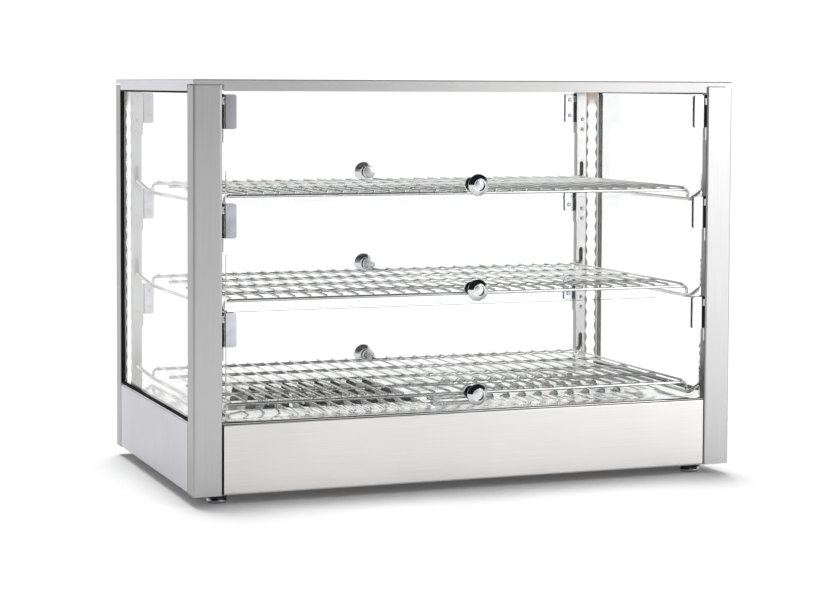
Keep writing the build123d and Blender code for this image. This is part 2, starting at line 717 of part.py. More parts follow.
dial_radius = DIAL_DIAMETER / 2
dial_bore = DIAL_SHAFT / 2 + PIN_CLEARANCE
dial_profile = polygon([
    (dial_bore, 0),
    (dial_radius, 0),
    (dial_radius - DIAL_DRAFT, DIAL_RIM),
    (DIAL_TOP_DIAMETER / 2, DIAL_SKIRT),
    (dial_bore, DIAL_SKIRT),
])
dial = revolve(Plane.XZ * dial_profile, axis=Axis.Z)
grip_height = DIAL_LENGTH - DIAL_SKIRT
dial += Pos(0, 0, DIAL_SKIRT + grip_height / 2) * Box(DIAL_GRIP, DIAL_GRIP_LENGTH, grip_height)
save("thermostat_dial", Location(behind(CONTROL_X, CONTROL_Z, HALF_Y + DIAL_GAP)) * dial)

# Rocker switches: framed housing in the panel and a tilting rocker
WELL_X = CUT_X - 2 * SWITCH_WALL
WELL_Z = CUT_Z - 2 * SWITCH_WALL
for x, name in zip(SWITCH_X, ("heat", "light")):
    face = behind(x, CONTROL_Z, HALF_Y)
    housing = extrude(face * Rectangle(SWITCH_WIDTH, SWITCH_HEIGHT), SHEET)
    housing += extrude(face * Rectangle(CUT_X - HOLE_CLEARANCE, CUT_Z - HOLE_CLEARANCE), -SWITCH_DEPTH)
    well = extrude(face * Rectangle(WELL_X, WELL_Z), 2 * SHEET)
    well += extrude(face * Rectangle(WELL_X, WELL_Z), -SWITCH_WELL)
    housing -= well
    save(name + "_switch_body", housing)
    half_w = WELL_X / 2 - ROCKER_CLEARANCE
    half_h = WELL_Z / 2 - 3 * ROCKER_CLEARANCE
    rocker_side = polygon([
        (-ROCKER_DEEP, -ROCKER_HEEL / 2),
        (-ROCKER_DEEP, ROCKER_HEEL / 2),
        (0, half_h),
        (ROCKER_LIFT, half_h),
        (ROCKER_LIFT - ROCKER_DISH, 0),
        (ROCKER_LIFT, -half_h),
        (0, -half_h),
    ])
    rocker = extrude(Plane.YZ * rocker_side, half_w, both=True)
    save(name + "_switch_rocker", Pos(x, HALF_Y, CONTROL_Z) * Rot(SWITCH_TILT, 0, 0) * rocker)

# Pilot lamp, cable gland, terminal block and lamp supply
lamp_radius = LAMP_DIAMETER / 2
lamp_profile = polygon([
    (0, 0),
    (lamp_radius + LAMP_BEZEL, 0),
    (lamp_radius + LAMP_BEZEL - LAMP_DRAFT, LAMP_BEZEL),
    (LAMP_TIP / 2, LAMP_HEIGHT),
    (0, LAMP_HEIGHT),
])
lamp = revolve(Plane.XZ * lamp_profile, axis=Axis.Z)
lamp += extrude(octagon(2 * STEM_RADIUS), -LAMP_STEM)
save("pilot_lamp", Location(behind(LAMP_X, CONTROL_Z, HALF_Y)) * lamp)

gland_stem = GLAND_BORE + 2 * GLAND_WALL
gland = extrude(octagon(gland_stem), -GLAND_STEM)
gland += extrude(RegularPolygon(gland_stem / 2 + GLAND_NUT_WALL, 6, major_radius=False), GLAND_NUT_LENGTH)
gland += extrude(Circle(gland_stem / 2 + GLAND_CAP_WALL), GLAND_LENGTH)
gland -= extrude(Circle(GLAND_BORE / 2), 2 * GLAND_LENGTH, both=True)
save("cable_gland", Location(behind(GLAND_X, CONTROL_Z, HALF_Y)) * gland)

TERMINAL_X = GLAND_X + TERMINAL_FROM_GLAND
terminal_y = HALF_Y - TERMINAL_FROM_REAR
terminal = block(TERMINAL_X - TERMINAL_LENGTH / 2, TERMINAL_X + TERMINAL_LENGTH / 2,
                 terminal_y - TERMINAL_DEPTH / 2, terminal_y + TERMINAL_DEPTH / 2,
                 TRAY_TOP, TRAY_TOP + TERMINAL_HEIGHT)
for i in (-1, 0, 1):
    notch = Box(TERMINAL_NOTCH, 2 * TERMINAL_DEPTH, TERMINAL_HEIGHT)
    terminal -= Pos(TERMINAL_X + i * TERMINAL_PITCH, terminal_y, TRAY_TOP + TERMINAL_HEIGHT) * notch
save("terminal_block", terminal)

supply_y = HALF_Y - SUPPLY_FROM_REAR
supply = block(-SUPPLY_WIDTH / 2, SUPPLY_WIDTH / 2, supply_y - SUPPLY_LENGTH / 2, supply_y + SUPPLY_LENGTH / 2,
               TRAY_TOP, TRAY_TOP + SUPPLY_HEIGHT)
supply = chamfer(supply.edges().group_by(Axis.Z)[-1], SUPPLY_EDGE)
save("lamp_supply", supply)

# Sensing bulb on the floor, with its capillary tube through the floor to the thermostat
probe_start = Plane(origin=(PROBE_X - PROBE_LENGTH / 2, PROBE_Y, PROBE_Z), x_dir=(0, 1, 0), z_dir=(1, 0, 0))
probe = extrude(probe_start * small_round(PROBE_DIAMETER), PROBE_LENGTH)
probe_rings = probe.edges().group_by(Axis.X)
probe = chamfer(probe_rings[0] + probe_rings[-1], PROBE_TIP)
thermostat_front = PANEL_BACK - THERMOSTAT_DEPTH
capillary_x = CONTROL_X - CAPILLARY_SIDE
capillary_z = CONTROL_Z + CAPILLARY_LIFT
capillary_line = FilletPolyline(
    (PROBE_END - PROBE_TIP, PROBE_Y, PROBE_Z),
    (CAPILLARY_HOLE_X, PROBE_Y, PROBE_Z),
    (CAPILLARY_HOLE_X, PROBE_Y, capillary_z),
    (capillary_x, thermostat_front - CAPILLARY_LEAD, capillary_z),
    (capillary_x, thermostat_front, capillary_z),
    radius=CAPILLARY_BEND,
)
capillary_start = Plane(origin=capillary_line @ 0, x_dir=(0, 1, 0), z_dir=(1, 0, 0))
capillary_section = RegularPolygon(CAPILLARY / 2, 6, major_radius=False)
probe += sweep(capillary_start * capillary_section, path=capillary_line)
save("heat_probe", probe)

clip_half = PROBE_DIAMETER / 2 + PROBE_CLIP_WALL
saddle = Pos(0, (PROBE_CLIP_GRIP - clip_half) / 2) * Rectangle(2 * clip_half, clip_half + PROBE_CLIP_GRIP)
saddle -= octagon(PROBE_DIAMETER + 2 * PIN_CLEARANCE)
probe_clips = []
for way in (-1, 1):
    clip_x = PROBE_X + way * (PROBE_LENGTH / 2 - PROBE_CLIP_IN)
    clip_plane = Plane(origin=(clip_x, PROBE_Y, PROBE_Z), x_dir=(0, 1, 0), z_dir=(1, 0, 0))
    probe_clips.append(extrude(clip_plane * saddle, PROBE_CLIP_WIDTH / 2, both=True))
save("probe_clips", probe_clips)
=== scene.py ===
"""Heated display case: finishes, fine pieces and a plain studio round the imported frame."""

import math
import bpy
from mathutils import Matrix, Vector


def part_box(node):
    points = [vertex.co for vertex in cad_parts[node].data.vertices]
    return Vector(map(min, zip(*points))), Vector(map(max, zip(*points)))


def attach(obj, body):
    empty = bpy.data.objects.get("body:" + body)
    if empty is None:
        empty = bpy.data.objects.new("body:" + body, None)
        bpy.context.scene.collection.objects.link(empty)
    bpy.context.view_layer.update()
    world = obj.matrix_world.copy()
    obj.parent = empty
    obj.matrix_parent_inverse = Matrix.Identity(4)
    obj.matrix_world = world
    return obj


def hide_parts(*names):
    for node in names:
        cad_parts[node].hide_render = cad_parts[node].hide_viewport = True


bl_info = {
    "name": "Heated display case",
    "version": (1, 0, 0),
    "blender": (4, 5, 0),
    "location": "3D View > Sidebar > Display Case",
    "description": "Dresses the packed display case with its finishes and fine pieces",
    "category": "Object",
}

import bmesh
import bpy
from bpy.props import FloatProperty, FloatVectorProperty, IntProperty, PointerProperty
from mathutils import Matrix, Vector

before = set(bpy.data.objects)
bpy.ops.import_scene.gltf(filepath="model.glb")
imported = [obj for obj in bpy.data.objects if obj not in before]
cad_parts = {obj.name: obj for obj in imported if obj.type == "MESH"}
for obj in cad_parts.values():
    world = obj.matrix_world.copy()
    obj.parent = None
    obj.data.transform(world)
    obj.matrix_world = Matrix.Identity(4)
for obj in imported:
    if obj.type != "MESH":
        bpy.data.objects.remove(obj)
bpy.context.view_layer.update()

MM = 0.001
NEAR = 0.01 * MM
POST_FLANGE = 13.0 * MM
LEVELS = ("bottom", "middle", "top")
SIDES = (("front", -1), ("rear", 1))
DOORS = [(side + "_door_" + level, side + "_" + level, way) for side, way in SIDES for level in LEVELS]
QUARTERS = [(across, along) for across in (-1, 1) for along in (-1, 1)]
WHITE = (1.0, 1.0, 1.0)


# Sizes and colours that a user would change
def length(name, description, millimetres, low=0.0):
    """Length property given in millimetres and kept in metres."""
    return FloatProperty(name=name, description=description, default=millimetres * MM,
                         min=low, unit="LENGTH", precision=4)


def angle(name, description, degrees):
    """Angle property given in degrees."""
    return FloatProperty(name=name, description=description, default=math.radians(degrees), subtype="ANGLE")


def number(name, description, value):
    """Plain number."""
    return FloatProperty(name=name, description=description, default=value)


def whole(name, description, value):
    """Count of like pieces."""
    return IntProperty(name=name, description=description, default=value, min=2)


def point(name, description, value):
    """Place in metres."""
    return FloatVectorProperty(name=name, description=description, default=value,
                               subtype="TRANSLATION", size=3)


def colour(name, description, value):
    """Linear colour property."""
    return FloatVectorProperty(name=name, description=description, default=value,
                               subtype="COLOR", size=3, min=0.0, max=1.0)


class CaseWires(bpy.types.PropertyGroup):
    """Shelf and rail wires."""

    long_wire: length("Long wire", "Diameter of the long shelf wires", 4.0)
    cross_wire: length("Cross wire", "Diameter of the cross wires", 2.6)
    long_count: whole("Long wires", "Long wires in a shelf", 5)
    cross_count: whole("Cross wires", "Cross wires in a shelf", 31)
    weld: number("Weld", "Share of a cross wire that is sunk into the long wires", 0.12)
    leg_bend: length("Leg bend", "Bend radius of the shelf legs", 5.0)
    rail_wire: length("Rail wire", "Diameter of the rails", 4.5)
    rail_bend: length("Rail bend", "Bend radius of the rails", 6.0)
    rail_tip: length("Rail tip", "Reach of a rail past the post flange", 7.0)
    rail_crank: length("Rail crank", "Rise of a rail to its slot", 14.0)
    crank_start: length("Crank start", "Crank start in front of the flange", 10.0)
    crank_end: length("Crank end", "Crank end in front of the flange", 4.0)
    seat_gap: length("Seat gap", "Gap between a shelf leg and its rail", 0.3)


class CaseDoors(bpy.types.PropertyGroup):
    """Door furniture."""

    knob_neck: length("Knob neck", "Radius of the knob's neck", 7.2)
    knob_dish: length("Knob dish", "Depth of the recess in the knob's front", 2.2)
    knob_rim: length("Knob rim", "Width of the knob's rim round the recess", 0.9)
    knob_face: length("Knob face", "Radius of the satin disc in the recess", 6.4)
    knob_dome: length("Knob dome", "Rise of the disc's slightly domed face", 0.2)
    stud: length("Stud", "Radius of the stud through the glass", 4.0)
    cap: length("Inner cap", "Radius of the cap inside the glass", 7.9)
    cap_edge: length("Cap edge", "Edge radius of the inner cap", 0.9)
    # The washer is a rubber ring, and its black also paints the shade of the gap at the cap's foot.
    washer: length("Washer", "Thickness of the rubber ring under the cap", 4.0)
    washer_lip: length("Washer lip", "Reach of the rubber ring past the cap", 0.05)
    clip_width: length("Clip width", "Width of a clip across the door", 12.6)
    plate: length("Clip plate", "Sheet of the hinge clips", 1.4)
    plate_corner: length("Clip corner", "Corner radius of the clip plates", 2.4)
    plate_fold: length("Clip fold", "Bend radius of the clip's back", 1.1)
    clip_pad: length("Clip pad", "Gap between a clip and the glass", 0.2)
    clip_upper: length("Upper clip screw", "Upper screw below the door's upper edge", 8.0)
    clip_lower: length("Lower clip screw", "Lower screw below the door's upper edge", 29.5)
    pin: length("Hinge pin", "Diameter of the hinge pins", 4.0)
    pin_root: length("Pin root", "Length of a pin inside the clip's back", 0.6)
    pivot_drop: length("Pivot drop", "Hinge pin below the door's upper edge", 7.5)
    pivot_inset: length("Pivot inset", "Hinge pin inside the middle of the glass", 1.0)
    strap: length("Strap", "Sheet of the hinge straps", 1.5)
    strap_length: length("Strap length", "Length of a strap down the post", 53.0)
    strap_corner: length("Strap corner", "Corner radius at the foot of a strap", 5.0)
    strap_upper: length("Upper strap screw", "Upper screw below the door's upper edge", 34.4)
    strap_lower: length("Lower strap screw", "Lower screw below the door's upper edge", 48.0)
    strap_inset: length("Strap screw inset", "Strap screws behind the post's inner face", 7.0)
    # Painted shade: the black pad beside a clip stands in for the shadow gap between clip and post.
    pad: length("Strap pad", "Thickness of the dark pad beside a clip", 0.4)
    pad_length: length("Pad length", "Length of the dark pad beside a clip", 38.0)
    screw: length("Screw head", "Diameter of the screw heads", 5.2)
    screw_rise: length("Screw rise", "Height of the screw heads", 1.5)


class CaseFloor(bpy.types.PropertyGroup):
    """Louvred floor plate."""

    sheet: length("Floor sheet", "Sheet of the floor plate", 1.0)
    louvre_length: length("Louvre length", "Length of a louvre", 42.0)
    louvre_width: length("Louvre width", "Width of a louvre", 14.0)
    louvre_pitch: length("Louvre pitch", "Step from louvre to louvre", 21.0)
    louvre_count: whole("Louvres", "Louvres in each half row", 9)
    row_pitch: length("Row pitch", "Step from row to row", 70.0)
    row_shift: length("Row shift", "Middle row off the middle of the floor", -8.0, -1.0)
    left_start: length("Left start", "First louvre of the left half", -203.0, -1.0)
    right_start: length("Right start", "First louvre of the right half", 55.0)
    edge_gap: length("Edge gap", "Gap round the posts", 0.3)


class CaseFittings(bpy.types.PropertyGroup):
    """Sensing bulb, feet and dial marks."""

    bulb: length("Bulb", "Diameter of the bulb", 6.0)
    bulb_length: length("Bulb length", "Length of the bulb", 71.0)
    tube: length("Tube", "Diameter of the thin tube", 2.0)
    tube_bend: length("Tube bend", "Bend radius of the thin tube", 4.0)
    tail: length("Tail", "Reach of the tube before it dips through the floor", 8.0)
    lead: length("Lead", "Straight lead into the thermostat", 12.0)
    foot: length("Foot", "Radius of a foot", 12.5)
    foot_pad: length("Foot pad", "Thickness of the pad under a foot", 0.9)
    disc_middle: length("Disc middle", "Height of the bright disc's widest ring", 2.4)
    disc_edge: length("Disc edge", "Edge radius of the bright disc", 0.9)
    collar_foot: length("Collar foot", "Height of the dark collar's lower side", 5.2)
    collar_bevel: length("Collar bevel", "Height where the collar is at its full width", 6.6)
    collar_top: length("Collar top", "Height of the dark collar's upper side", 12.5)
    collar_edge: length("Collar edge", "Edge radius of the dark collar", 0.8)
    stem: length("Stem", "Radius of a foot's stem", 5.5)
    ticks: whole("Ticks", "Ticks round the dial", 10)
    tick_start: angle("First tick", "Turn of the first tick", 225.0)
    tick_sweep: angle("Tick sweep", "Turn from the first tick to the last", 270.0)
    tick_length: length("Tick length", "Length of a tick", 3.6)
    tick_width: length("Tick width", "Width of a tick", 0.9)
    tick_ink: length("Tick ink", "Thickness of the printed ticks", 0.1)
    tick_gap: length("Tick gap", "Middle of the ticks outside the dial", 4.0)
    pointer_width: length("Pointer width", "Width of the dial's pointer line", 1.2)
    pointer_ink: length("Pointer ink", "Depth of the pointer line", 0.4)
    pointer_start: length("Pointer start", "Start of the pointer line off the dial's middle", 2.0)
    pointer_end: length("Pointer end", "End of the pointer line off the dial's middle", 11.0)


class CaseColours(bpy.types.PropertyGroup):
    """Linear colours of the finishes."""

    post_steel: colour("Post steel", "Brushed posts", (0.48, 0.48, 0.48))
    # Painted shade: the posts' faces square to the front are coloured darker than the rest of each post.
    post_sides: colour("Post sides", "Faces of the posts square to the front", (0.30, 0.30, 0.30))
    panel_steel: colour("Panel steel", "Front and rear base panels", (0.71, 0.705, 0.695))
    # Painted shade: the side base panels are coloured darker than the front and rear panels of the same
    # steel.
    side_steel: colour("Side steel", "Side base panels", (0.53, 0.525, 0.56))
    cover_steel: colour("Cover steel", "Cover and its front and rear skirts", (0.45, 0.445, 0.445))
    # Painted light: the cover's side skirts are coloured lighter than its front and rear.
    cover_ends: colour("Cover ends", "Side skirts of the cover", (0.62, 0.61, 0.645))
    floor_steel: colour("Floor steel", "Bright floor plate", (0.92, 0.92, 0.915))
    inner_steel: colour("Inner steel", "Brackets", (0.62, 0.61, 0.61))
    # Painted shade: near-black sheet that darkens the inside of the base and the louvre mouths.
    dull_steel: colour("Dull steel", "Base tray and underside of the floor", (0.018, 0.018, 0.018))
    ceiling_steel: colour("Ceiling steel", "Ceiling panel", (0.50, 0.50, 0.50))
    heater_steel: colour("Heater steel", "Hairpin heaters", (0.16, 0.13, 0.11))
    wire_chrome: colour("Wire chrome", "Shelves, rails and sensing bulb", (0.66, 0.66, 0.655))
    clip_chrome: colour("Clip chrome", "Hinge clips and foot discs", (0.565, 0.56, 0.61))
    knob_chrome: colour("Knob chrome", "Door knobs", (0.64, 0.645, 0.67))
    glass: colour("Glass", "Doors and windows", (0.995, 1.0, 0.998))
    # The pads beside the clips take this black as painted shade.
    rubber: colour("Rubber", "Seals, pads and feet", (0.010, 0.010, 0.011))
    control: colour("Control plastic", "Dial, switches and gland", (0.018, 0.018, 0.020))
    pale_ink: colour("Pale ink", "Pointer on the dial", (0.75, 0.75, 0.75))
    dark_ink: colour("Dark ink", "Scale round the dial", (0.03, 0.03, 0.03))
    terminal: colour("Terminal plastic", "Terminal block", (0.65, 0.63, 0.58))
    supply: colour("Supply plastic", "Lamp supply", (0.70, 0.70, 0.70))
    board: colour("Board", "Lamp strips", (0.80, 0.80, 0.78))
    lamp: colour("Lamp", "Light of the corner lamps", (1.0, 0.985, 0.95))
    pilot: colour("Pilot lamp", "Lens of the pilot lamp", (0.80, 0.20, 0.03))


class CaseStudio(bpy.types.PropertyGroup):
    """Camera and light of the studio."""

    lens: FloatProperty(name="Lens", description="Focal length on a 36 mm sensor", default=94.03,
                        unit="CAMERA")
    yaw: angle("Yaw", "Turn of the camera to the right", 20.874)
    pitch: angle("Pitch", "Tilt of the camera down", 3.0)
    roll: angle("Roll", "Roll of the camera", 0.256)
    place: point("Place", "Place of the camera", (-0.9273, -2.4748, 0.4646))
    shift_x: number("Shift X", "Lens shift to the right", -0.0176)
    shift_y: number("Shift Y", "Lens shift up", -0.1224)
    ground: colour("Ground", "Studio floor", (0.90, 0.90, 0.90))
    ground_reach: length("Ground reach", "Half the width of the studio floor", 20000.0)
    ground_rise: length("Ground rise", "Where the floor starts to rise behind the object", 5000.0)
    ground_slope: number("Ground slope", "Slope of the floor past that line", 0.06)
    ground_glow: number("Ground glow", "Own light of the floor", 0.08)
    sky: number("Sky", "Light of the white surroundings", 0.28)
    room: number("Room", "Brightness of the dark room in mirrors", 0.02)
    backdrop: angle("Backdrop", "Height of the white backdrop's upper edge", 15.0)
    back_rise: number("Back rise", "Rise of that edge behind the object, as a sine", 0.55)
    blur: angle("Blur", "Softness of the backdrop's upper edge", 8.0)
    dark_side: angle("Dark side", "Middle of the dark side, left of the front", 40.0)
    dark_reach: angle("Dark reach", "Angle from that middle where white starts", 74.0)
    dark_core: angle("Dark core", "Angle from that middle where dark ends", 45.0)
    key: number("Key", "Power of the right softbox in watts", 27.0)
    key_side: angle("Key side", "Softbox to the right of the front", 40.0)
    key_reach: length("Key reach", "Distance of the softbox", 2800.0)
    key_height: length("Key height", "Height of the softbox", 1250.0)
    key_width: length("Key width", "Width and height of the softbox's face", 1600.0)
    key_aim: point("Key aim", "Point that the softbox faces", (0.1, 0.0, 0.25))
    strip: number("Strip", "Power of the near strip light in watts", 1.2)
    strip_place: point("Strip place", "Place of the strip light", (0.95, -1.25, 0.40))
    strip_width: length("Strip width", "Width of the strip light", 420.0)
    strip_height: length("Strip height", "Height of the strip light", 1100.0)
    strip_aim: point("Strip aim", "Point that the strip light faces", (0.2, 0.0, 0.25))
    top: number("Top", "Strength of the broad light on the ground", 3.0)
    top_spread: angle("Top spread", "Angular size of the light on the ground", 42.0)
    top_lean: angle("Top lean", "Lean of the light on the ground to the rear", 23.0)
    dome: number("Dome", "Strength of the wide light on the cover", 1.2)
    dome_spread: angle("Dome spread", "Angular size of the light on the cover", 150.0)


# Finishes: shared effects are node groups
def put(tree, socket, value):
    """Link a socket to another one, or set it; a colour gets its alpha."""
    if isinstance(value, bpy.types.NodeSocket):
        tree.links.new(value, socket)
    elif socket.type == "RGBA":
        socket.default_value = (*value, 1.0)
    else:
        socket.default_value = value


def feed(tree, node, **values):
    """Link or set a node's inputs by name; underscores stand for spaces."""
    for name, value in values.items():
        put(tree, node.inputs[name.replace("_", " ")], value)


def new_node(tree, kind, **values):
    """Node with its inputs fed by name."""
    made = tree.nodes.new(kind)
    feed(tree, made, **values)
    return made


def maths(tree, operation, *values, kind="ShaderNodeMath", output="Value"):
    """Math node on sockets or numbers; returns its output."""
    made = tree.nodes.new(kind)
    made.operation = operation
    for socket, value in zip(made.inputs, values):
        put(tree, socket, value)
    return made.outputs[output]


def vector_maths(tree, operation, *values):
    """Vector Math node on sockets or vectors; returns its output."""
    output = "Value" if operation == "DOT_PRODUCT" else "Vector"
    return maths(tree, operation, *values, kind="ShaderNodeVectorMath", output=output)


def spread(tree, value, low, high):
    """Map 0..1 to low..high."""
    return new_node(tree, "ShaderNodeMapRange", Value=value, To_Min=low, To_Max=high).outputs["Result"]


def ramp(tree, value, start, end, low=0.0, high=1.0):
    """Smooth step from low at the start to high at the end."""
    made = new_node(tree, "ShaderNodeMapRange", Value=value, From_Min=start, From_Max=end,
                    To_Min=low, To_Max=high)
    made.interpolation_type = "SMOOTHSTEP"
    return made.outputs["Result"]


def noise(tree, place, **values):
    """Noise texture at a place; returns its factor."""
    return new_node(tree, "ShaderNodeTexNoise", Vector=place, **values).outputs["Fac"]


def split(tree, vector):
    """Outputs of a vector's X, Y and Z."""
    return new_node(tree, "ShaderNodeSeparateXYZ", Vector=vector).outputs


def blend_colours(tree, factor, first, second):
    """Mix of two colours by a factor socket."""
    made = tree.nodes.new("ShaderNodeMix")
    made.data_type = "RGBA"
    for index, value in ((0, factor), (6, first), (7, second)):
        put(tree, made.inputs[index], value)
    return made.outputs[2]


def scaled(shade, share):
    """Colour times a share, with no channel over 1."""
    return tuple(min(1.0, value * share) for value in shade)


def shared_group(build):
    """Build a node group when it is first asked for, and hand out the same one after that."""
    def fetch():
        name = build.__name__
        if name not in bpy.data.node_groups:
            build(bpy.data.node_groups.new(name, "ShaderNodeTree"))
        return bpy.data.node_groups[name]
    return fetch


def group_ends(tree, inputs, outputs):
    """Sockets of a group: a vector, the named inputs and the named outputs; returns its two end nodes."""
    tree.interface.new_socket(name="Vector", in_out="INPUT", socket_type="NodeSocketVector")
    for label, value in inputs.items():
        kind = "NodeSocketFloat" if isinstance(value, float) else "NodeSocketVector"
        tree.interface.new_socket(name=label, in_out="INPUT", socket_type=kind).default_value = value
    for label in outputs:
        tree.interface.new_socket(name=label, in_out="OUTPUT", socket_type="NodeSocketFloat")
    return tree.nodes.new("NodeGroupInput"), tree.nodes.new("NodeGroupOutput")


@shared_group
def brushed_grain(tree):
    """Streaks of a brushed or rolled sheet: tone, roughness and height."""
    inputs = {"Stretch": (10.0, 900.0, 900.0), "Rough low": 0.25, "Rough high": 0.35}
    start, end = group_ends(tree, inputs, ("Tone", "Roughness", "Height"))
    place = start.outputs["Vector"]
    stretched = vector_maths(tree, "MULTIPLY", place, start.outputs["Stretch"])
    streaks = noise(tree, stretched, Scale=1.0, Detail=4.0, Roughness=0.65)
    clouds = noise(tree, place, Scale=9.0, Detail=2.0, Roughness=0.5)
    tone = maths(tree, "ADD", maths(tree, "MULTIPLY", streaks, 0.7), maths(tree, "MULTIPLY", clouds, 0.3))
    rough = spread(tree, tone, start.outputs["Rough low"], start.outputs["Rough high"])
    feed(tree, end, Tone=tone, Roughness=rough, Height=streaks)


@shared_group
def wiped_film(tree):
    """Faint film left by wiping: a soft mask that changes the gloss."""
    start, end = group_ends(tree, {"Size": 14.0}, ("Mask",))
    film = noise(tree, start.outputs["Vector"], Scale=start.outputs["Size"], Detail=5.0, Roughness=0.6,
                 Distortion=0.8)
    feed(tree, end, Mask=ramp(tree, film, 0.35, 0.75))


@shared_group
def fine_speckle(tree):
    """Moulded skin of plastic and rubber: speckle mask and height."""
    start, end = group_ends(tree, {"Size": 900.0}, ("Mask", "Height"))
    speckle = noise(tree, start.outputs["Vector"], Scale=start.outputs["Size"], Detail=3.0, Roughness=0.7)
    feed(tree, end, Mask=speckle, Height=speckle)


def blank_finish(name):
    """New material; returns it, its tree, its shader and its place vector."""
    material = bpy.data.materials.new(name)
    material.use_nodes = True
    tree = material.node_tree
    place = tree.nodes.new("ShaderNodeTexCoord").outputs["Object"]
    return material, tree, tree.nodes["Principled BSDF"], place


def use_group(tree, group, place, **values):
    """Outputs of a group node fed with the place vector and its own values."""
    made = tree.nodes.new("ShaderNodeGroup")
    made.node_tree = group
    feed(tree, made, Vector=place, **values)
    return made.outputs


def bump(tree, shader, height, strength, distance):
    """Bump from a height socket into the shader's normal."""
    made = new_node(tree, "ShaderNodeBump", Strength=strength, Distance=distance, Height=height)
    feed(tree, shader, Normal=made.outputs["Normal"])


def steel_finish(name, pale, stretch, rough, contrast=0.10, strength=0.05, ends=None, flat_dull=0.0):
    """Stainless sheet with its grain along the short stretch.

    Faces square to X take the colour that ends names, which paints light and shade on those sides, and
    level faces are duller by flat_dull.
    """
    material, tree, shader, place = blank_finish(name)
    low, high = rough
    grain = use_group(tree, brushed_grain(), place, Stretch=stretch, Rough_low=low, Rough_high=high)
    film = use_group(tree, wiped_film(), place, Size=7.0)
    dark = scaled(pale, 1.0 - 2.0 * contrast)
    light = scaled(pale, 1.0 + contrast)
    tone = blend_colours(tree, grain["Tone"], dark, light)
    roughness = maths(tree, "ADD", grain["Roughness"], spread(tree, film["Mask"], 0.0, 0.05))
    if ends:
        # Painted light and shade: faces square to X get a different colour from the rest of the same sheet.
        normal = split(tree, tree.nodes.new("ShaderNodeNewGeometry").outputs["True Normal"])
        painted_side_mask = maths(tree, "ABSOLUTE", normal["X"])
        tone = blend_colours(tree, painted_side_mask, tone, getattr(bpy.context.scene.case_colours, ends))
        level = maths(tree, "ABSOLUTE", normal["Z"])
        roughness = maths(tree, "ADD", roughness, maths(tree, "MULTIPLY", level, flat_dull))
    feed(tree, shader, Base_Color=tone, Roughness=roughness, Metallic=1.0)
    bump(tree, shader, grain["Height"], strength, 0.2 * MM)
    return material


def chrome_finish(name, pale, rough, strength=0.03):
    """Bright plating with a trace of wiping and fine drawing marks."""
    material, tree, shader, place = blank_finish(name)
    film = use_group(tree, wiped_film(), place, Size=40.0)["Mask"]
    speckle = use_group(tree, fine_speckle(), place, Size=700.0)
    feed(tree, shader, Base_Color=blend_colours(tree, film, pale, scaled(pale, 0.82)),
         Roughness=spread(tree, film, *rough), Metallic=1.0)
    bump(tree, shader, speckle["Height"], strength, 0.1 * MM)
    return material


def moulded_finish(name, pale, rough, strength=0.15, sheen=0.5):
    """Moulded plastic or rubber with a fine skin; sheen is its specular level."""
    material, tree, shader, place = blank_finish(name)
    speckle = use_group(tree, fine_speckle(), place)
    film = use_group(tree, wiped_film(), place, Size=60.0)["Mask"]
    tone = blend_colours(tree, speckle["Mask"], scaled(pale, 0.75), scaled(pale, 1.15))
    feed(tree, shader, Base_Color=tone, Roughness=spread(tree, film, *rough), Specular_IOR_Level=sheen)
    bump(tree, shader, speckle["Height"], strength, 0.2 * MM)
    return material


def glass_finish(name, tint, rough, ior):
    """Clear glass with a faint wiped film."""
    material, tree, shader, place = blank_finish(name)
    film = use_group(tree, wiped_film(), place, Size=9.0)["Mask"]
    feed(tree, shader, Base_Color=blend_colours(tree, film, tint, scaled(tint, 0.99)),
         Roughness=spread(tree, film, *rough), Transmission_Weight=1.0, IOR=ior)
    return material


def lens_finish(name, light, width, pitch, inset, slant):
    """Frosted lamp cover: a bright core that swells at each lamp behind it, dim at its upper end.

    inset gives its middle, in from its own outer side and from the post's outer face; slant runs across it.
    """
    material, tree, shader, place = blank_finish(name)
    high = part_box("lamp_lenses")[1]
    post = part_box("post_rear_right")[1]
    middle = (high.x - inset[0], post.y - inset[1], 0.0)
    swell, half_core = 0.07 * width, 0.36 * width
    soft = (-0.10 * width, 0.12 * width)
    fade = (high.z - 26.0 * MM, high.z - 4.0 * MM)
    rim_painted_shade, core_shade = (0.30, 0.27, 0.27), (0.85, 0.84, 0.82)
    tip_glow, rim_glow = (0.32, 0.25, 0.19), (0.05, 0.04, 0.035)
    off_middle = vector_maths(tree, "SUBTRACT", vector_maths(tree, "ABSOLUTE", place), middle)
    across = maths(tree, "ABSOLUTE", vector_maths(tree, "DOT_PRODUCT", off_middle, slant))
    height = split(tree, place)["Z"]
    wave = maths(tree, "COSINE", maths(tree, "MULTIPLY", height, 2 * math.pi / pitch))
    core = maths(tree, "ADD", maths(tree, "MULTIPLY", wave, swell), half_core)
    upper = ramp(tree, height, *fade, 1.0, 0.0)
    lit = maths(tree, "MULTIPLY", ramp(tree, maths(tree, "SUBTRACT", core, across), *soft), upper)
    unlit = blend_colours(tree, upper, tip_glow, rim_glow)
    # Painted shade: the lens's base colour is dark at its rims and light over the lit core.
    feed(tree, shader, Base_Color=blend_colours(tree, lit, rim_painted_shade, core_shade),
         Emission_Color=blend_colours(tree, lit, unlit, light), Emission_Strength=1.0, Roughness=0.45)
    return material


def pilot_finish(name, light, ribs):
    """Ribbed amber lens of the pilot lamp."""
    material, tree, shader, place = blank_finish(name)
    wave = new_node(tree, "ShaderNodeTexWave", Vector=place, Scale=ribs, Distortion=0.0).outputs["Fac"]
    feed(tree, shader, Base_Color=blend_colours(tree, wave, scaled(light, 0.6), light), Roughness=0.25)
    bump(tree, shader, wave, 0.4, 0.4 * MM)
    return material


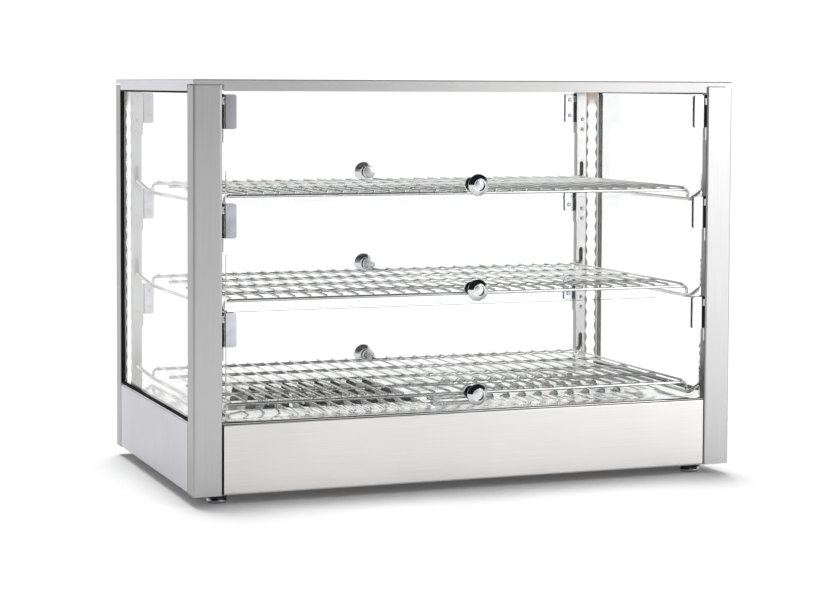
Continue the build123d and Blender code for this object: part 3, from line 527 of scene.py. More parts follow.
# Each finish: its kind, its colour, and its own values
BRUSHED_X = (8.0, 900.0, 900.0)
BRUSHED_Z = (900.0, 900.0, 8.0)
ROLLED = (8.0, 500.0, 500.0)
FLOAT = {"rough": (0.0, 0.012), "ior": 1.33}
LENS = {"width": 16.6 * MM, "pitch": 16.7 * MM, "inset": (5.15 * MM, 18.5 * MM),
        "slant": (0.62, -0.785, 0.0)}
FINISHES = {
    # The posts' faces square to X take painted shade through ends.
    "post_brushed": (steel_finish, "post_steel",
                     {"stretch": BRUSHED_Z, "rough": (0.26, 0.34), "ends": "post_sides"}),
    "panel_brushed": (steel_finish, "panel_steel", {"stretch": BRUSHED_X, "rough": (0.30, 0.40)}),
    # Side panels take a darker copy of the panel steel as painted shade.
    "side_brushed": (steel_finish, "side_steel", {"stretch": BRUSHED_Z, "rough": (0.30, 0.40)}),
    # The cover's side skirts take painted light through ends.
    "cover_brushed": (steel_finish, "cover_steel",
                      {"stretch": BRUSHED_X, "rough": (0.32, 0.40), "ends": "cover_ends",
                       "flat_dull": 0.30}),
    "floor_bright": (steel_finish, "floor_steel",
                     {"stretch": (8.0, 700.0, 700.0), "rough": (0.08, 0.11), "contrast": 0.03,
                      "strength": 0.0}),
    "inner_dull": (steel_finish, "dull_steel", {"stretch": ROLLED, "rough": (0.45, 0.6)}),
    "ceiling_dull": (steel_finish, "ceiling_steel", {"stretch": ROLLED, "rough": (0.45, 0.6)}),
    "inner_rolled": (steel_finish, "inner_steel", {"stretch": ROLLED, "rough": (0.22, 0.32)}),
    "heater_dull": (steel_finish, "heater_steel", {"stretch": (300.0, 20.0, 300.0), "rough": (0.4, 0.6)}),
    "wire_plated": (chrome_finish, "wire_chrome", {"rough": (0.05, 0.10)}),
    "probe_bright": (chrome_finish, "wire_chrome", {"rough": (0.08, 0.14)}),
    "clip_plated": (chrome_finish, "clip_chrome", {"rough": (0.20, 0.28)}),
    "knob_plated": (chrome_finish, "knob_chrome", {"rough": (0.03, 0.07), "strength": 0.0}),
    "cap_satin": (chrome_finish, "knob_chrome", {"rough": (0.22, 0.30)}),
    "door_float": (glass_finish, "glass", FLOAT),
    "window_float": (glass_finish, "glass", FLOAT),
    "seal_moulded": (moulded_finish, "rubber", {"rough": (0.7, 0.85), "sheen": 0.1}),
    "foot_moulded": (moulded_finish, "rubber", {"rough": (0.35, 0.5)}),
    "control_moulded": (moulded_finish, "control", {"rough": (0.35, 0.5)}),
    "mark_printed": (moulded_finish, "pale_ink", {"rough": (0.4, 0.5), "strength": 0.02}),
    "scale_printed": (moulded_finish, "dark_ink", {"rough": (0.4, 0.5), "strength": 0.02}),
    "terminal_moulded": (moulded_finish, "terminal", {"rough": (0.4, 0.55)}),
    "supply_moulded": (moulded_finish, "supply", {"rough": (0.35, 0.5)}),
    "strip_board": (moulded_finish, "board", {"rough": (0.4, 0.5)}),
    "lens_frosted": (lens_finish, "lamp", LENS),
    "pilot_ribbed": (pilot_finish, "pilot", {"ribs": 260.0}),
}


def finish_of(name):
    """The named finish, made when it is first asked for."""
    if name in bpy.data.materials:
        return bpy.data.materials[name]
    make, shade, values = FINISHES[name]
    return make(name, getattr(bpy.context.scene.case_colours, shade), **values)


def dress(finish, *node_names):
    """Give carried-over nodes a finish."""
    for node_name in node_names:
        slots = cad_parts[node_name].data.materials
        slots.clear()
        slots.append(finish_of(finish))


# Modelling helpers on bmesh operators
def only(geom, kind):
    """Parts of one kind among an operator's results."""
    return [part for part in geom if isinstance(part, kind)]


def round_off(bm, geom, radius, steps, affect="EDGES", clamp=False):
    """Round some edges or corners."""
    bmesh.ops.bevel(bm, geom=geom, offset=radius, offset_type="OFFSET", affect=affect, segments=steps,
                    profile=0.5, material=-1, clamp_overlap=clamp)


def edges_along(bm, axis, test):
    """Edges along one axis whose two ends pass a test."""
    found = [e for e in bm.edges if abs((e.verts[0].co - e.verts[1].co).normalized()[axis]) > 0.99]
    return [e for e in found if all(test(vert.co) for vert in e.verts)]


def box_between(bm, low, high):
    """Box between two corners."""
    low, high = Vector(low), Vector(high)
    place = Matrix.Translation((low + high) / 2)
    bmesh.ops.create_cube(bm, size=1.0, matrix=place @ Matrix.Diagonal((*(high - low), 1.0)))


def prism(corners, low_z, high_z):
    """Upright solid on corners given as (x, y)."""
    bm = bmesh.new()
    profile = bm.faces.new([bm.verts.new((x, y, low_z)) for x, y in corners])
    grown = bmesh.ops.extrude_face_region(bm, geom=[profile])["geom"]
    bmesh.ops.translate(bm, verts=only(grown, bmesh.types.BMVert), vec=(0, 0, high_z - low_z))
    return bm


def lathe(points, roundings, steps):
    """Turned solid about Z from points given as (radius, height), with the numbered corners rounded."""
    bm = bmesh.new()
    made = [bm.verts.new((radius, 0.0, height)) for radius, height in points]
    for first, second in zip(made, made[1:]):
        bm.edges.new((first, second))
    for index, (radius, segments) in roundings.items():
        round_off(bm, [made[index]], radius, segments, "VERTICES")
    bmesh.ops.spin(bm, geom=bm.verts[:] + bm.edges[:], cent=(0, 0, 0), axis=(0, 0, 1), dvec=(0, 0, 0),
                   angle=2 * math.pi, steps=steps, use_merge=True)
    bmesh.ops.remove_doubles(bm, verts=bm.verts, dist=0.1 * NEAR)
    bmesh.ops.recalc_face_normals(bm, faces=bm.faces)
    return bm


def add_copy(bm, part, matrix):
    """Add a moved copy of another bmesh."""
    mesh = bpy.data.meshes.new("copy")
    part.to_mesh(mesh)
    mesh.transform(matrix)
    if matrix.determinant() < 0:
        mesh.flip_normals()
    bm.from_mesh(mesh)
    bpy.data.meshes.remove(mesh)


def push(bm, rim, move):
    """Extrude a rim of edges along a vector; returns the new rim."""
    grown = bmesh.ops.extrude_edge_only(bm, edges=rim)["geom"]
    corners = only(grown, bmesh.types.BMVert)
    bmesh.ops.translate(bm, verts=corners, vec=move)
    return [edge for edge in only(grown, bmesh.types.BMEdge) if set(edge.verts) <= set(corners)]


def wire(bm, points, radius, bend, sides, steps=6, end_round=0.25):
    """Round wire through the points, bent to one radius, with rounded ends."""
    points = [Vector(point) for point in points]
    start = facing(points[0], points[1] - points[0])
    ring = bmesh.ops.create_circle(bm, cap_ends=True, segments=sides, radius=radius, matrix=start)["verts"]
    rim = list({edge for vert in ring for edge in vert.link_edges})
    ends = list(rim)
    here = points[0]
    for before, corner, after in zip(points, points[1:], points[2:]):
        along = (corner - before).normalized()
        onward = (after - corner).normalized()
        turn = along.angle(onward)
        cut = bend * math.tan(turn / 2)
        axis = along.cross(onward).normalized()
        rim = push(bm, rim, corner - along * cut - here)
        bent = bmesh.ops.spin(bm, geom=rim, cent=corner - along * cut + axis.cross(along) * bend, axis=axis,
                              dvec=(0, 0, 0), angle=turn, steps=steps, use_duplicate=False)["geom_last"]
        rim = only(bent, bmesh.types.BMEdge)
        here = corner + onward * cut
    rim = push(bm, rim, points[-1] - here)
    bmesh.ops.holes_fill(bm, edges=rim, sides=sides)
    round_off(bm, ends + rim, radius * end_round, 1)


def screw_head(sizes):
    """Pan head with a cross recess, its seat at z = 0."""
    radius, rise = sizes.screw / 2, sizes.screw_rise
    points = [(0.0, 0.0), (radius, 0.0), (radius, rise * 0.45), (radius * 0.62, rise),
              (radius * 0.42, rise), (radius * 0.30, rise * 0.35), (0.0, rise * 0.30)]
    head = lathe(points, {2: (rise * 0.35, 3)}, 16)
    for vert in head.verts:
        reach = vert.co.xy.length
        if 0.2 * radius < reach < 0.5 * radius and vert.co.z > rise * 0.2:
            turn = math.atan2(vert.co.y, vert.co.x)
            vert.co.xy *= 1.0 + 0.42 * math.cos(4 * turn)
    return head


def facing(place, direction):
    """Matrix that stands +Z along a direction at a place."""
    return Matrix.Translation(place) @ Vector(direction).to_track_quat("Z", "Y").to_matrix().to_4x4()


def out_and_in(node, way):
    """Outermost and innermost Y of a node on the front (-1) or the rear (1)."""
    low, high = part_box(node)
    return (high.y, low.y) if way > 0 else (low.y, high.y)


def middle_of(node):
    """Middle of a node's box."""
    low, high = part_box(node)
    return (low + high) / 2


def add_piece(name, bm, finish, body, replaced=(), sharp=35.0):
    """Make the finished mesh an object that rides on a body."""
    bmesh.ops.recalc_face_normals(bm, faces=bm.faces)
    mesh = bpy.data.meshes.new(name)
    bm.to_mesh(mesh)
    bm.free()
    mesh.shade_smooth()
    mesh.set_sharp_from_angle(angle=math.radians(sharp))
    mesh.materials.append(finish_of(finish))
    piece = bpy.data.objects.new(name, mesh)
    bpy.context.scene.collection.objects.link(piece)
    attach(piece, body)
    if replaced:
        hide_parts(*replaced)
    return piece


class CaseOperator:
    """Shared settings of the operators."""

    bl_options = {"REGISTER", "UNDO"}


class CASE_OT_dress_sheet(CaseOperator, bpy.types.Operator):
    """Brush the posts, panels, cover and inner sheets"""

    bl_idname = "display_case.dress_sheet"
    bl_label = "Dress sheet metal"

    def execute(self, context):
        dress("post_brushed", "post_front_left", "post_front_right", "post_rear_left", "post_rear_right")
        dress("panel_brushed", "base_panel_front", "base_panel_rear")
        dress("side_brushed", "base_panel_left", "base_panel_right")
        dress("cover_brushed", "top_cover")
        dress("inner_rolled", "heater_brackets")
        dress("ceiling_dull", "ceiling_panel")
        # The base tray is near-black as painted shade inside the base.
        dress("inner_dull", "base_tray")
        dress("heater_dull", "heater_left", "heater_right")
        for name in ("top_cover", "ceiling_panel"):
            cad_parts[name].visible_shadow = False
        return {"FINISHED"}


class CASE_OT_dress_glass(CaseOperator, bpy.types.Operator):
    """Give the doors and windows clear glass, and the windows their dark seals"""

    bl_idname = "display_case.dress_glass"
    bl_label = "Dress glass"

    def execute(self, context):
        doors = [door + "_glass" for door, _, _ in DOORS]
        windows = ["side_glass_left", "side_glass_right"]
        dress("door_float", *doors)
        dress("window_float", *windows)
        dress("seal_moulded", "side_seal_left", "side_seal_right")
        for name in doors + windows:
            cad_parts[name].visible_shadow = False
        return {"FINISHED"}


class CASE_OT_dress_lamps(CaseOperator, bpy.types.Operator):
    """Light the frosted lenses in the corner posts"""

    bl_idname = "display_case.dress_lamps"
    bl_label = "Dress lamps"

    def execute(self, context):
        dress("lens_frosted", "lamp_lenses")
        dress("strip_board", "lamp_strips")
        dress("supply_moulded", "lamp_supply")
        dress("terminal_moulded", "terminal_block")
        return {"FINISHED"}


class CASE_OT_build_floor(CaseOperator, bpy.types.Operator):
    """Press the rows of louvres into the floor plate"""

    bl_idname = "display_case.build_floor"
    bl_label = "Build louvred floor"

    # Lines of the grid across a hood from its mouth, and along it from its middle
    shares = (0.0, 0.3, 0.55, 0.8, 1.0)
    stations = (-1.0, -0.93, -0.75, -0.4, 0.0, 0.4, 0.75, 0.93, 1.0)
    crown_power = 1.2
    end_power = 8

    def execute(self, context):
        sizes = context.scene.case_floor
        low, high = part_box("floor_plate")
        top = low.z + sizes.sheet
        half_length = sizes.louvre_length / 2
        steps = [i * sizes.louvre_pitch for i in range(sizes.louvre_count)]
        hoods = [(sizes.left_start - sizes.louvre_width / 2 + step, 1) for step in steps]
        hoods += [(sizes.right_start + sizes.louvre_width / 2 + step, -1) for step in steps]
        rows = [sizes.row_shift + row * sizes.row_pitch for row in (-1, 0, 1)]
        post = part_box("post_rear_right")[0]
        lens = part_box("lamp_lenses")[1]
        gap = sizes.edge_gap
        notch_x = (post.x - gap, post.x + POST_FLANGE, lens.x + gap, high.x)
        notch_y = (post.y - gap, post.y + POST_FLANGE - gap, high.y)
        x_lines = [x + way * share * sizes.louvre_width for x, way in hoods for share in self.shares]
        x_lines = sorted(x_lines + [sign * x for x in notch_x for sign in (-1, 1)])
        y_lines = [y + station * half_length for y in rows for station in self.stations]
        y_lines = sorted(y_lines + [sign * y for y in notch_y for sign in (-1, 1)])
        bm = bmesh.new()
        bmesh.ops.create_grid(bm, x_segments=len(x_lines) - 1, y_segments=len(y_lines) - 1, size=0.5)
        for vert in bm.verts:
            column = round((vert.co.x + 0.5) * (len(x_lines) - 1))
            line = round((vert.co.y + 0.5) * (len(y_lines) - 1))
            vert.co = (x_lines[column], y_lines[line], top)
        self.cut_corners(bm, notch_x, notch_y)
        for mouth, way in hoods:
            for row in rows:
                self.raise_hood(bm, mouth, way, row, sizes.louvre_width, half_length, high.z - top)
        plate = add_piece("louvred_floor", bm, "floor_bright", "case", ["floor_plate"], 50.0)
        sheet = plate.modifiers.new("sheet", "SOLIDIFY")
        sheet.thickness = sizes.sheet
        sheet.offset = -1.0
        # The floor's underside takes painted shade, which darkens the louvre mouths.
        plate.data.materials.append(finish_of("inner_dull"))
        sheet.material_offset = 1
        return {"FINISHED"}

    def cut_corners(self, bm, notch_x, notch_y):
        """Clear the plate round the posts, with a slanted edge along the lenses."""
        doomed = []
        for face in bm.faces[:]:
            middle = face.calc_center_median()
            x, y = abs(middle.x), abs(middle.y)
            if y > notch_y[1] and x > notch_x[0] or y > notch_y[0] and x > notch_x[2]:
                doomed.append(face)
            elif y > notch_y[0] and x > notch_x[1]:
                corners = sorted(face.verts, key=lambda vert: abs(vert.co.x) + abs(vert.co.y))
                bmesh.utils.face_split(face, corners[1], corners[2])
                doomed += [part for part in corners[3].link_faces if set(corners[1:]) == set(part.verts)]
        bmesh.ops.delete(bm, geom=doomed, context="FACES")

    def raise_hood(self, bm, mouth, way, row, width, half_length, rise):
        """Slit the sheet along a hood's mouth and press the hood up behind the slit."""
        slit = []
        for edge in bm.edges:
            first, second = (vert.co for vert in edge.verts)
            on_line = abs(first.x - mouth) < NEAR and abs(second.x - mouth) < NEAR
            if on_line and max(abs(first.y - row), abs(second.y - row)) < half_length + NEAR:
                slit.append(edge)
        bmesh.ops.split_edges(bm, edges=slit)
        for vert in list(bm.verts):
            share = (vert.co.x - mouth) * way / width
            end = abs(vert.co.y - row) / half_length
            if share < -0.01 or share >= 1.0 or end >= 0.999:
                continue
            if all((face.calc_center_median().x - mouth) * way > 0 for face in vert.link_faces):
                crown = math.cos(math.pi / 2 * max(share, 0.0)) ** self.crown_power
                vert.co.z += rise * crown * (1.0 - end ** self.end_power) ** 0.5


class CASE_OT_build_knobs(CaseOperator, bpy.types.Operator):
    """Turn the door knobs, with a stud through the glass and a cap inside"""

    bl_idname = "display_case.build_knobs"
    bl_label = "Build knobs"

    def execute(self, context):
        sizes = context.scene.case_doors
        for door, short, way in DOORS:
            node = door + "_knob"
            low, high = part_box(node)
            tip, back = out_and_in(node, way)
            outer, inner = out_and_in(door + "_glass", way)
            x, _, z = middle_of(node)
            outward = facing((x, outer, z), (0, way, 0))
            inward = facing((x, inner, z), (0, -way, 0))
            reach = abs(tip - outer)
            knob = self.knob(sizes, (high.x - low.x) / 2, reach)
            cap = self.cap(sizes, abs(inner - back), abs(outer - inner))
            for name, part, place, finish, slot, nodes in (
                ("turned_knob", knob, outward, "knob_plated", "knob_chrome", [node]),
                ("knob_face", self.face(sizes, reach), outward, "cap_satin", "knob_chrome", []),
                ("knob_cap", cap, inward, "cap_satin", "knob_chrome", []),
                ("knob_washer", self.washer(sizes), inward, "seal_moulded", "seal_rubber", []),
            ):
                bmesh.ops.transform(part, matrix=place, verts=part.verts)
                add_piece(short + "_" + name, part, finish, door, nodes)
        return {"FINISHED"}

    def knob(self, sizes, radius, reach):
        """Waisted knob with a wide bevel round a recess in its front."""
        neck_end = reach * 0.24
        shoulder = (radius * 0.90, reach * 0.60)
        ring_start, ring_end = reach * 0.72, reach * 0.76
        floor = reach - sizes.knob_dish
        points = [
            (0.0, 0.0), (sizes.knob_neck, 0.0), (sizes.knob_neck, neck_end), shoulder, (radius, ring_start),
            (radius, ring_end), (sizes.knob_face + sizes.knob_rim, reach), (sizes.knob_face, reach),
            (sizes.knob_face, floor), (0.0, floor),
        ]
        # Radius and steps of each rounded corner
        roundings = {7: (0.2 * MM, 2), 6: (0.5 * MM, 4), 5: (0.9 * MM, 5), 4: (0.9 * MM, 4),
                     3: (1.2 * MM, 4), 2: (1.0 * MM, 4)}
        return lathe(points, roundings, 48)

    def face(self, sizes, reach):
        """Satin disc on the floor of the knob's recess."""
        dome = sizes.knob_dome
        rim = sizes.knob_face - dome * 0.5
        floor = reach - sizes.knob_dish
        points = [
            (0.0, floor - dome), (rim, floor - dome), (rim, floor + dome * 1.5), (0.0, floor + dome * 2.0),
        ]
        return lathe(points, {2: (dome * 0.5, 3)}, 48)

    def cap(self, sizes, reach, glass):
        """Inner cap with a rounded edge, on the stud through the glass."""
        points = [
            (0.0, -glass), (sizes.stud, -glass), (sizes.stud, sizes.washer), (sizes.cap, sizes.washer),
            (sizes.cap, reach), (0.0, reach),
        ]
        return lathe(points, {4: (sizes.cap_edge, 4)}, 40)

    def washer(self, sizes):
        """Rubber ring between the cap and the glass; its black is partly painted shade of the gap at the
        cap's foot.
        """
        rim = sizes.cap + sizes.washer_lip
        points = [(sizes.stud, 0.0), (rim, 0.0), (rim, sizes.washer), (sizes.stud, sizes.washer)]
        return lathe(points, {}, 40)


class CASE_OT_build_clips(CaseOperator, bpy.types.Operator):
    """Fold the hinge clips round the door edges, with pins and screws"""

    bl_idname = "display_case.build_clips"
    bl_label = "Build hinge clips"

    def execute(self, context):
        sizes = context.scene.case_doors
        for door, short, way in DOORS:
            node = door + "_clips"
            half = self.clip(sizes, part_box(node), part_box(door + "_glass"), way)
            bm = bmesh.new()
            for across in (1, -1):
                add_copy(bm, half, Matrix.Diagonal((across, 1.0, 1.0, 1.0)))
            half.free()
            add_piece(short + "_folded_clips", bm, "clip_plated", door, [node])
        return {"FINISHED"}

    def clip(self, sizes, box, glass, way):
        """Right-hand clip: two plates joined by a back, a pin and two screws inside."""
        low, high = box
        glass_low, glass_high = glass
        back = glass_high.x + sizes.plate
        front = back - sizes.clip_width
        outer_y = glass_high.y + sizes.plate
        inner_y = glass_low.y - sizes.plate
        pad = sizes.clip_pad
        bm = prism([
            (front, outer_y), (back, outer_y), (back, inner_y), (front, inner_y),
            (front, glass_low.y - pad), (glass_high.x + pad, glass_low.y - pad),
            (glass_high.x + pad, glass_high.y + pad), (front, glass_high.y + pad),
        ], low.z, high.z)
        folds = edges_along(bm, 2, lambda spot: abs(spot.x - back) < NEAR)
        round_off(bm, folds, sizes.plate_fold, 3, clamp=True)
        tips = edges_along(bm, 1, lambda spot: abs(spot.x - front) < NEAR)
        round_off(bm, tips, sizes.plate_corner, 4, clamp=True)
        pivot_y = way * (abs(glass_low.y + glass_high.y) / 2 - sizes.pivot_inset)
        pivot_z = glass_high.z - sizes.pivot_drop
        pin = [(back - sizes.pin_root, pivot_y, pivot_z), (high.x, pivot_y, pivot_z)]
        wire(bm, pin, sizes.pin / 2, 0.0, 20)
        head = screw_head(sizes)
        face_y = inner_y if way > 0 else outer_y
        for drop in (sizes.clip_upper, sizes.clip_lower):
            place = ((front + glass_high.x) / 2, face_y, glass_high.z - drop)
            add_copy(bm, head, facing(place, (0, -way, 0)))
        head.free()
        return bm


class CASE_OT_build_straps(CaseOperator, bpy.types.Operator):
    """Fold the hinge straps on the posts, add black pads that paint the shadow beside the clips, and drive
    their screws
    """

    bl_idname = "display_case.build_straps"
    bl_label = "Build hinge straps"

    def execute(self, context):
        sizes = context.scene.case_doors
        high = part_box("hinge_straps")[1]
        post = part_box("post_rear_right")[0]
        flange_y = post.y + POST_FLANGE
        straps, shade_pads, screws = bmesh.new(), bmesh.new(), bmesh.new()
        head = screw_head(sizes)
        for level in LEVELS:
            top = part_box("rear_door_" + level + "_glass")[1].z
            half = self.strap(sizes, post.x, flange_y, high, top)
            pad = self.pad(sizes, post.x - sizes.strap, flange_y, high.y, top)
            for across, along in QUARTERS:
                quarter = Matrix.Diagonal((across, along, 1.0, 1.0))
                add_copy(straps, half, quarter)
                add_copy(shade_pads, pad, quarter)
                for drop in (sizes.strap_upper, sizes.strap_lower):
                    seat = Vector((post.x + sizes.strap_inset, flange_y - sizes.strap, top - drop))
                    add_copy(screws, head, facing(quarter @ seat, (0, -along, 0)))
            half.free()
            pad.free()
        head.free()
        add_piece("strap_screws", screws, "post_brushed", "case")
        # Black pads beside the clips are painted shade of the gap between clip and post.
        add_piece("strap_pads", shade_pads, "seal_moulded", "case")
        add_piece("folded_straps", straps, "post_brushed", "case", ["hinge_straps"])
        return {"FINISHED"}

    def pad(self, sizes, strap_x, flange_y, high_y, top):
        """Dark pad round a strap's edge beside its clip, open at the pin; it paints the shade of the gap
        between clip and post.
        """
        bm = bmesh.new()
        pin = top - sizes.pivot_drop
        for low_z, high_z in ((top - sizes.pad_length, pin - sizes.pin), (pin + sizes.pin, top)):
            box_between(bm, (strap_x - sizes.pad, flange_y, low_z),
                        (strap_x + sizes.strap, high_y + sizes.pad, high_z))
        return bm

    def strap(self, sizes, cheek_x, flange_y, high, top):
        """Rear right strap: a plate beside the post cheek, folded on to its flange."""
        bottom = top - sizes.strap_length
        inner_x = cheek_x - sizes.strap
        inner_y = flange_y - sizes.strap
        bm = prism([(inner_x, high.y), (inner_x, inner_y), (high.x, inner_y), (high.x, flange_y),
                    (cheek_x, flange_y), (cheek_x, high.y)], bottom, top)
        feet = edges_along(bm, 1, lambda spot: abs(spot.x - high.x) < NEAR and abs(spot.z - bottom) < NEAR)
        round_off(bm, feet, sizes.strap_corner, 5, clamp=True)
        return bm


class CASE_OT_build_shelves(CaseOperator, bpy.types.Operator):
    """Weld the wire shelves"""

    bl_idname = "display_case.build_shelves"
    bl_label = "Build wire shelves"

    def execute(self, context):
        sizes = context.scene.case_wires
        for level in LEVELS:
            node = "shelf_" + level
            bm = self.shelf(sizes, *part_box(node))
            add_piece(level + "_wire_shelf", bm, "wire_plated", node + "_body", [node], 60.0)
        return {"FINISHED"}

    def shelf(self, sizes, low, high):
        """Long wires below, cross wires on top, and legs bent down at the ends."""
        bm = bmesh.new()
        thick, thin = sizes.long_wire / 2, sizes.cross_wire / 2
        axis_z = high.z - sizes.cross_wire - thick
        half_x = high.x - thick
        half_y = high.y - thick
        for i in range(sizes.long_count):
            y = -half_y + i * 2 * half_y / (sizes.long_count - 1)
            points = [(-half_x, y, axis_z), (half_x, y, axis_z)]
            if i in (0, sizes.long_count - 1):
                points = [(-half_x, y, low.z), *points, (half_x, y, low.z)]
            wire(bm, points, thick, sizes.leg_bend, 14)
        spread_x = half_x - sizes.leg_bend - thin
        cross_z = axis_z + thick + thin - sizes.weld * sizes.cross_wire
        for i in range(sizes.cross_count):
            x = -spread_x + i * 2 * spread_x / (sizes.cross_count - 1)
            wire(bm, [(x, low.y, cross_z), (x, high.y, cross_z)], thin, 0.0, 10)
        return bm


class CASE_OT_build_rails(CaseOperator, bpy.types.Operator):
    """Bend the rails that carry the shelves"""

    bl_idname = "display_case.build_rails"
    bl_label = "Build shelf rails"

    def execute(self, context):
        sizes = context.scene.case_wires
        radius = sizes.rail_wire / 2
        for side, way in (("left", -1), ("right", 1)):
            node = "shelf_rails_" + side
            low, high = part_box(node)
            near_x = (low.x if way > 0 else high.x) + way * radius
            far_x = (high.x if way > 0 else low.x) - way * radius
            flange_y = high.y - sizes.rail_tip
            bm = bmesh.new()
            for level in LEVELS:
                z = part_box("shelf_" + level)[0].z - sizes.seat_gap - radius
                rear = [
                    (near_x, flange_y - sizes.crank_start, z),
                    (far_x, flange_y - sizes.crank_end, z + sizes.rail_crank),
                    (far_x, high.y, z + sizes.rail_crank),
                ]
                front = [(x, -y, z) for x, y, z in reversed(rear)]
                wire(bm, front + rear, radius, sizes.rail_bend, 14)
            add_piece("bent_rails_" + side, bm, "wire_plated", "case", [node], 60.0)
        return {"FINISHED"}


class CASE_OT_build_probe(CaseOperator, bpy.types.Operator):
    """Draw the sensing bulb on the floor and its thin tube to the thermostat"""

    bl_idname = "display_case.build_probe"
    bl_label = "Build sensing bulb"

    def execute(self, context):
        sizes = context.scene.case_fittings
        low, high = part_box("heat_probe")
        start = Vector((low.x, middle_of("probe_clips").y, high.z - sizes.bulb / 2))
        end = start + Vector((sizes.bulb_length, 0.0, 0.0))
        drop = Vector((end.x + sizes.tail, start.y, start.z))
        duct = Vector((drop.x, drop.y, low.z + sizes.tube / 2))
        entry = Vector((high.x - sizes.tube / 2, high.y, duct.z))
        lead = entry - Vector((0.0, sizes.lead, 0.0))
        bm = bmesh.new()
        wire(bm, [start, end], sizes.bulb / 2, 0.0, 24, end_round=0.5)
        wire(bm, [end, drop, duct, lead, entry], sizes.tube / 2, sizes.tube_bend, 12)
        add_piece("sensing_bulb", bm, "probe_bright", "case", ["heat_probe"], 40.0)
        dress("clip_plated", "probe_clips")
        return {"FINISHED"}


class CASE_OT_build_feet(CaseOperator, bpy.types.Operator):
    """Turn the feet: a dark collar over a bright disc on a dark pad"""

    bl_idname = "display_case.build_feet"
    bl_label = "Build feet"

    def execute(self, context):
        sizes = context.scene.case_fittings
        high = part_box("feet")[1]
        radius = sizes.foot
        waist = (radius * 0.86, sizes.collar_foot)
        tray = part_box("base_tray")[0].z
        edge = (sizes.collar_edge, 3)
        collar = lathe([
            (0.0, sizes.collar_foot), waist, (radius, sizes.collar_bevel), (radius, sizes.collar_top),
            (sizes.stem, sizes.collar_top), (sizes.stem, tray), (0.0, tray),
        ], {2: edge, 3: edge}, 40)
        disc = lathe([
            (0.0, sizes.foot_pad), (radius * 0.90, sizes.foot_pad), (radius * 0.98, sizes.disc_middle),
            waist, (0.0, sizes.collar_foot),
        ], {2: (sizes.disc_edge, 4)}, 40)
        sole = radius * 0.84
        pad = lathe([(0.0, 0.0), (sole, 0.0), (sole, sizes.foot_pad), (0.0, sizes.foot_pad)], {}, 40)
        collars, discs = bmesh.new(), bmesh.new()
        for across, along in QUARTERS:
            place = Matrix.Translation((across * (high.x - radius), along * (high.y - radius), 0.0))
            add_copy(collars, collar, place)
            add_copy(collars, pad, place)
            add_copy(discs, disc, place)
        for part in (collar, disc, pad):
            part.free()
        add_piece("foot_collars", collars, "foot_moulded", "case", ["feet"])
        add_piece("foot_discs", discs, "clip_plated", "case", ["feet"])
        return {"FINISHED"}


class CASE_OT_build_controls(CaseOperator, bpy.types.Operator):
    """Finish the controls on the rear panel and mark the dial"""

    bl_idname = "display_case.build_controls"
    bl_label = "Build controls"

    def execute(self, context):
        dress("control_moulded", "thermostat", "heat_switch_body", "light_switch_body", "cable_gland",
              "thermostat_dial", "heat_switch_rocker", "light_switch_rocker")
        dress("pilot_ribbed", "pilot_lamp")
        sizes = context.scene.case_fittings
        low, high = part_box("thermostat_dial")
        x, _, z = middle_of("thermostat_dial")
        self.scale(sizes, x, z, (high.x - low.x) / 2 + sizes.tick_gap)
        self.pointer(sizes, x, z, high.y)
        return {"FINISHED"}

    def scale(self, sizes, x, z, reach):
        """Ticks printed on the panel round the dial."""
        panel_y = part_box("base_panel_rear")[1].y
        place = Matrix.Translation((x, panel_y + sizes.tick_ink / 2, z))
        tick = Matrix.Translation((reach, 0.0, 0.0)) @ Matrix.Diagonal(
            (sizes.tick_length, sizes.tick_ink, sizes.tick_width, 1.0))
        bm = bmesh.new()
        for i in range(sizes.ticks):
            turn = sizes.tick_start - sizes.tick_sweep * i / (sizes.ticks - 1)
            bmesh.ops.create_cube(bm, size=1.0, matrix=place @ Matrix.Rotation(turn, 4, "Y") @ tick)
        add_piece("dial_scale", bm, "scale_printed", "case")

    def pointer(self, sizes, x, z, face_y):
        """Pale pointer line on the dial's grip."""
        half = sizes.pointer_width / 2
        bm = bmesh.new()
        box_between(bm, (x - half, face_y - sizes.pointer_ink, z + sizes.pointer_start),
                    (x + half, face_y, z + sizes.pointer_end))
        add_piece("dial_pointer", bm, "mark_printed", "thermostat_dial_body")


